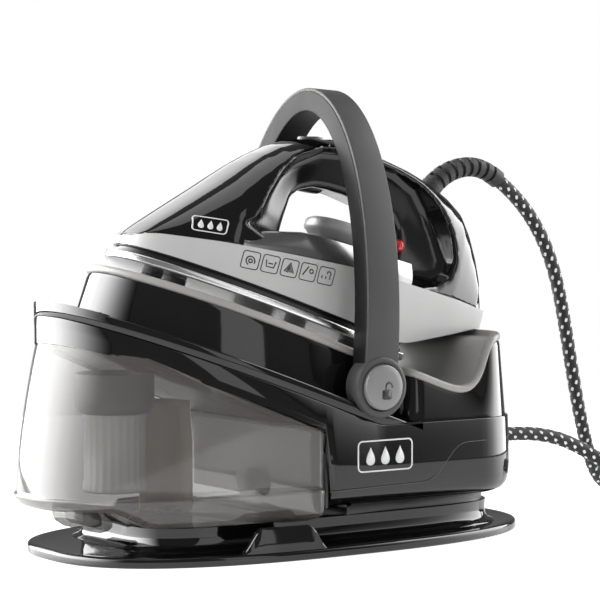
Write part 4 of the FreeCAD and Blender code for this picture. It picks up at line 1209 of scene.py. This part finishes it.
def build_symbols(mats):
    """Five framed symbols in a row on the skirt."""
    frames, glyphs = [], []
    for number in range(5):
        u, v = 75 + 13.75 * number, 19 + 2 * number
        frames.append((rounded_box(u, v, 11.6, 11.6, 1.8, 0.14), True))
        glyphs += skirt_glyph(number, u, v)
    shapes = merge_shapes([ribbon(frames, on_skirt, 0.6), ribbon(glyphs, on_skirt, 0.8)])
    add("skirt_symbols", shapes, mats["ink"], "iron", "silver", on_iron=True)


def badge(box, drop_gap, drop_size, line, place):
    """A framed row of three water drops; box is rounded_box's arguments, drop_gap the step between drops."""
    u, v = box[:2]
    drops = [patch(droplet(u + drop_gap[0] * k, v + drop_gap[1] * k, drop_size), place) for k in (-1, 0, 1)]
    return merge_shapes([ribbon([(rounded_box(*box), True)], place, line)] + drops)


def build_marks(mats):
    build_symbols(mats)
    nose = badge((45.5, 32.6, 20.5, 9.6, 2.0, 0.18), (5.6, 1.0), 5.8, 0.7, on_nose)
    add("nose_mark", nose, mats["mark"], "iron", "silver", on_iron=True)
    case = badge((27.5, 62, 44, 20, 3.2), (12, 0), 12, 1.0, on_case)
    add("case_mark", case, mats["mark"], "base", "silver")
    # A raised seam line on the case's side; its light grey is a painted highlight along the seam.
    seam_line = [(-17, 40.7), (15, 41.3), (56, 41.9), (62, 42.4), (67, 44), (71.5, 46.8), (85, 61.6),
                 (89, 64.6), (93, 66.2), (98, 66.8), (112, 67), (125, 67), (138, 67), (148, 67), (153, 67)]
    add("seam_painted_highlight", ribbon([(seam_line, False)], on_case, 0.35, 0.08), mats["line"], "base", "black_gloss")
    body = patch(rounded_box(0.6, -4.6, 7.6, 6.4, 1.6), on_button)
    shackle = ribbon([(arc_path(2.4, 0.6, 2.6, -20, 200) + [(-0.2, -1.6)], False)], on_button, 1.3)
    add("padlock_symbol", merge_shapes([body, shackle]), mats["ink"], "lock_button_left", "button_grey")


# ---------------------------------------------------------------- hose

RELIEF_ROUTE = [(122, 0, 231), (131, 0, 241), (146, 0, 250.5), (165, 0, 254), (181, 0, 250), (190, 0, 244)]
UPPER_ROUTE = [(190.03, 0, 243.98), (203, 0, 235.33), (221, 0, 218), (236, 0, 196), (247, 0, 170),
               (256, 0, 132), (266, 2, 92), (281, 8, 52), (302, 19, 21), (328, 32, 8), (355, 41, 6.5)]
LOWER_ROUTE = [(170, -30, 63), (190, -30, 62.6), (208, -30, 60.5), (225, -30.5, 56.5), (241, -31, 50),
               (257, -34, 41), (275, -39, 29), (297, -47, 15), (325, -58, 8.5), (352, -65, 6.5)]
COIL_CENTRE = (386.0, -12.0)
COIL_LAPS = 3.5
POINTS_PER_LAP = 16
HOSE_RADIUS = 5.0


def swell(share):
    """A cosine step: 0 at 0, 1 at 1, and back to 0 at 2."""
    return 0.5 - 0.5 * math.cos(math.pi * share)


def coil_points():
    """The turns between the two routes: up from the floor after one lap, and down again in the last."""
    points = []
    total = int(POINTS_PER_LAP * COIL_LAPS)
    for step in range(1, total):
        turn = math.pi / 2 - 2 * math.pi * step / POINTS_PER_LAP
        lap = COIL_LAPS * step / total
        radius = 60.5 - 9.5 * swell(lap * 2 / COIL_LAPS)
        height = 5.6 + 9.6 * swell(clamp((lap - 0.9) / 0.9)) - 9.4 * swell(clamp((lap - 2.9) / 0.6))
        x, y = radius * math.cos(turn), radius * math.sin(turn)
        points.append((COIL_CENTRE[0] + x, COIL_CENTRE[1] + y, height))
    return points


def nurbs_line(name, route):
    """Closely spaced points on the smooth NURBS through a route's control points."""
    data = bpy.data.curves.new(name, "CURVE")
    data.dimensions = "3D"
    data.resolution_u = 10
    spline = data.splines.new("NURBS")
    spline.points.add(len(route) - 1)
    for point, place in zip(spline.points, route):
        point.co = (place[0] * MM, place[1] * MM, place[2] * MM, 1)
    spline.order_u = 3
    spline.use_endpoint_u = True
    obj = bpy.data.objects.new(name, data)
    bpy.context.scene.collection.objects.link(obj)
    depsgraph = bpy.context.evaluated_depsgraph_get()
    mesh = bpy.data.meshes.new_from_object(obj.evaluated_get(depsgraph))
    line = [v.co / MM for v in mesh.vertices]
    bpy.data.objects.remove(obj)
    return line


def even_line(line, spacing):
    """The same line with points at even distances."""
    lengths = [0.0]
    for a, b in zip(line, line[1:]):
        lengths.append(lengths[-1] + (b - a).length)
    count = max(2, round(lengths[-1] / spacing))
    coordinates = np.array([tuple(p) for p in line])
    marks = np.linspace(0, lengths[-1], count + 1)
    columns = [np.interp(marks, lengths, coordinates[:, i]) for i in range(3)]
    return [Vector(p) for p in zip(*columns)], lengths[-1]


def tube(line, radius_at, sides=20):
    """Points and faces of a tube round a line; radius_at(index, angle) gives each point's radius."""
    points = []
    side = Vector((0, 1, 0))
    for index, centre in enumerate(line):
        ahead = (line[min(index + 1, len(line) - 1)] - line[max(index - 1, 0)]).normalized()
        side = (side - ahead * side.dot(ahead)).normalized()
        over = ahead.cross(side)
        for step in range(sides):
            turn = 2 * math.pi * step / sides
            radius = radius_at(index, turn)
            points.append(tuple(centre + (side * math.cos(turn) + over * math.sin(turn)) * radius))
    return points, skin(len(line), sides) + end_caps(len(line), sides)


def build_hose(mats):
    route = UPPER_ROUTE + coil_points() + LOWER_ROUTE[::-1]
    line, length = even_line(nurbs_line("hose_route", route), 1.6)
    depth = 0.28

    def weave(index, turn):
        cross = math.sin(8 * turn + index * 1.1) * math.sin(8 * turn - index * 1.1)
        return HOSE_RADIUS - depth + depth * cross

    hose = make_mesh("steam_hose", *tube(line, weave, 32), mats["braid"])
    fleck = make_mesh("hose_flecks", *hose_flecks(line), mats["thread"])
    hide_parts("hose_upper", "hose_lower", "hose_coil")
    for piece in (hose, fleck):
        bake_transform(piece)


def hose_flecks(line):
    """Short light threads that lie slantwise on the hose, four round it at every third point."""
    points, faces = [], []
    for index in range(3, len(line) - 3, 3):
        centre = line[index]
        ahead = (line[index + 1] - line[index - 1]).normalized()
        side = (Vector((0, 1, 0)) - ahead * ahead.y).normalized()
        over = ahead.cross(side)
        for k in range(4):
            turn = math.pi / 2 * k + (index // 3 % 2) * math.pi / 4 + 0.35
            out = side * math.cos(turn) + over * math.sin(turn)
            around = ahead.cross(out)
            top = centre + out * (HOSE_RADIUS + 0.02)
            first = len(points)
            slant = (ahead + around * 0.5).normalized()
            cross = out.cross(slant)
            for a, b, lift_by in ((-1.9, 0, -0.5), (-1.0, 1.0, -0.15), (1.0, 1.0, -0.15), (1.9, 0, -0.5),
                                  (1.0, -1.0, -0.15), (-1.0, -1.0, -0.15), (0, 0, 0.2)):
                points.append(tuple(top + slant * a + cross * b + out * lift_by))
            faces += [(first + i, first + (i + 1) % 6, first + 6) for i in range(6)]
    return points, faces


def build_relief(mats):
    """The ribbed rubber sleeve where the hose leaves the iron."""
    relief_line, relief_length = even_line(nurbs_line("relief_route", RELIEF_ROUTE), 0.5)
    count = len(relief_line) - 1

    def relief_radius(index, turn):
        share = index / count
        base = 8.0 - 1.6 * share
        if share < 0.16 or share > 0.9:
            return base + 0.2
        groove = math.sin(share * relief_length / 7.4 * 2 * math.pi + (0 if math.cos(turn) > 0 else math.pi))
        return base - (1.7 if groove < -0.45 else 0.0)

    add("relief_sleeve", tube(relief_line, relief_radius, 40), mats["rubber"],
        "iron", "rubber", "cord_relief", crease=35)


build_studio()
mats = build_materials()
build_foot(mats)
build_casings(mats)
build_crown(mats)
build_tank(mats)
build_handle(mats)
build_sole(mats)
build_skirt(mats)
build_body(mats)
build_controls(mats)
build_marks(mats)
build_hose(mats)
build_relief(mats)

# The CAD pieces that are shown as they are, under the look that each takes.
CAD_LOOKS = {
    "gloss": ["filler_flap"],
    "satin": ["mains_gland", "hose_gland"],
    "smoke": ["tank_valve", "tank_socket"],
    "rubber": ["rubber_feet", "rest_pads"],
    "steel": ["boiler", "boiler_heater", "thermostat", "base_screws", "pivot_pins", "safety_valve"],
    "cast": ["sole_heater"],
    "brass": ["solenoid_valve"],
    "white": ["pump"],
    "board": ["control_board"],
}
for look_name, names in CAD_LOOKS.items():
    for name in names:
        nodes[name].data.materials.clear()
        nodes[name].data.materials.append(mats[look_name])
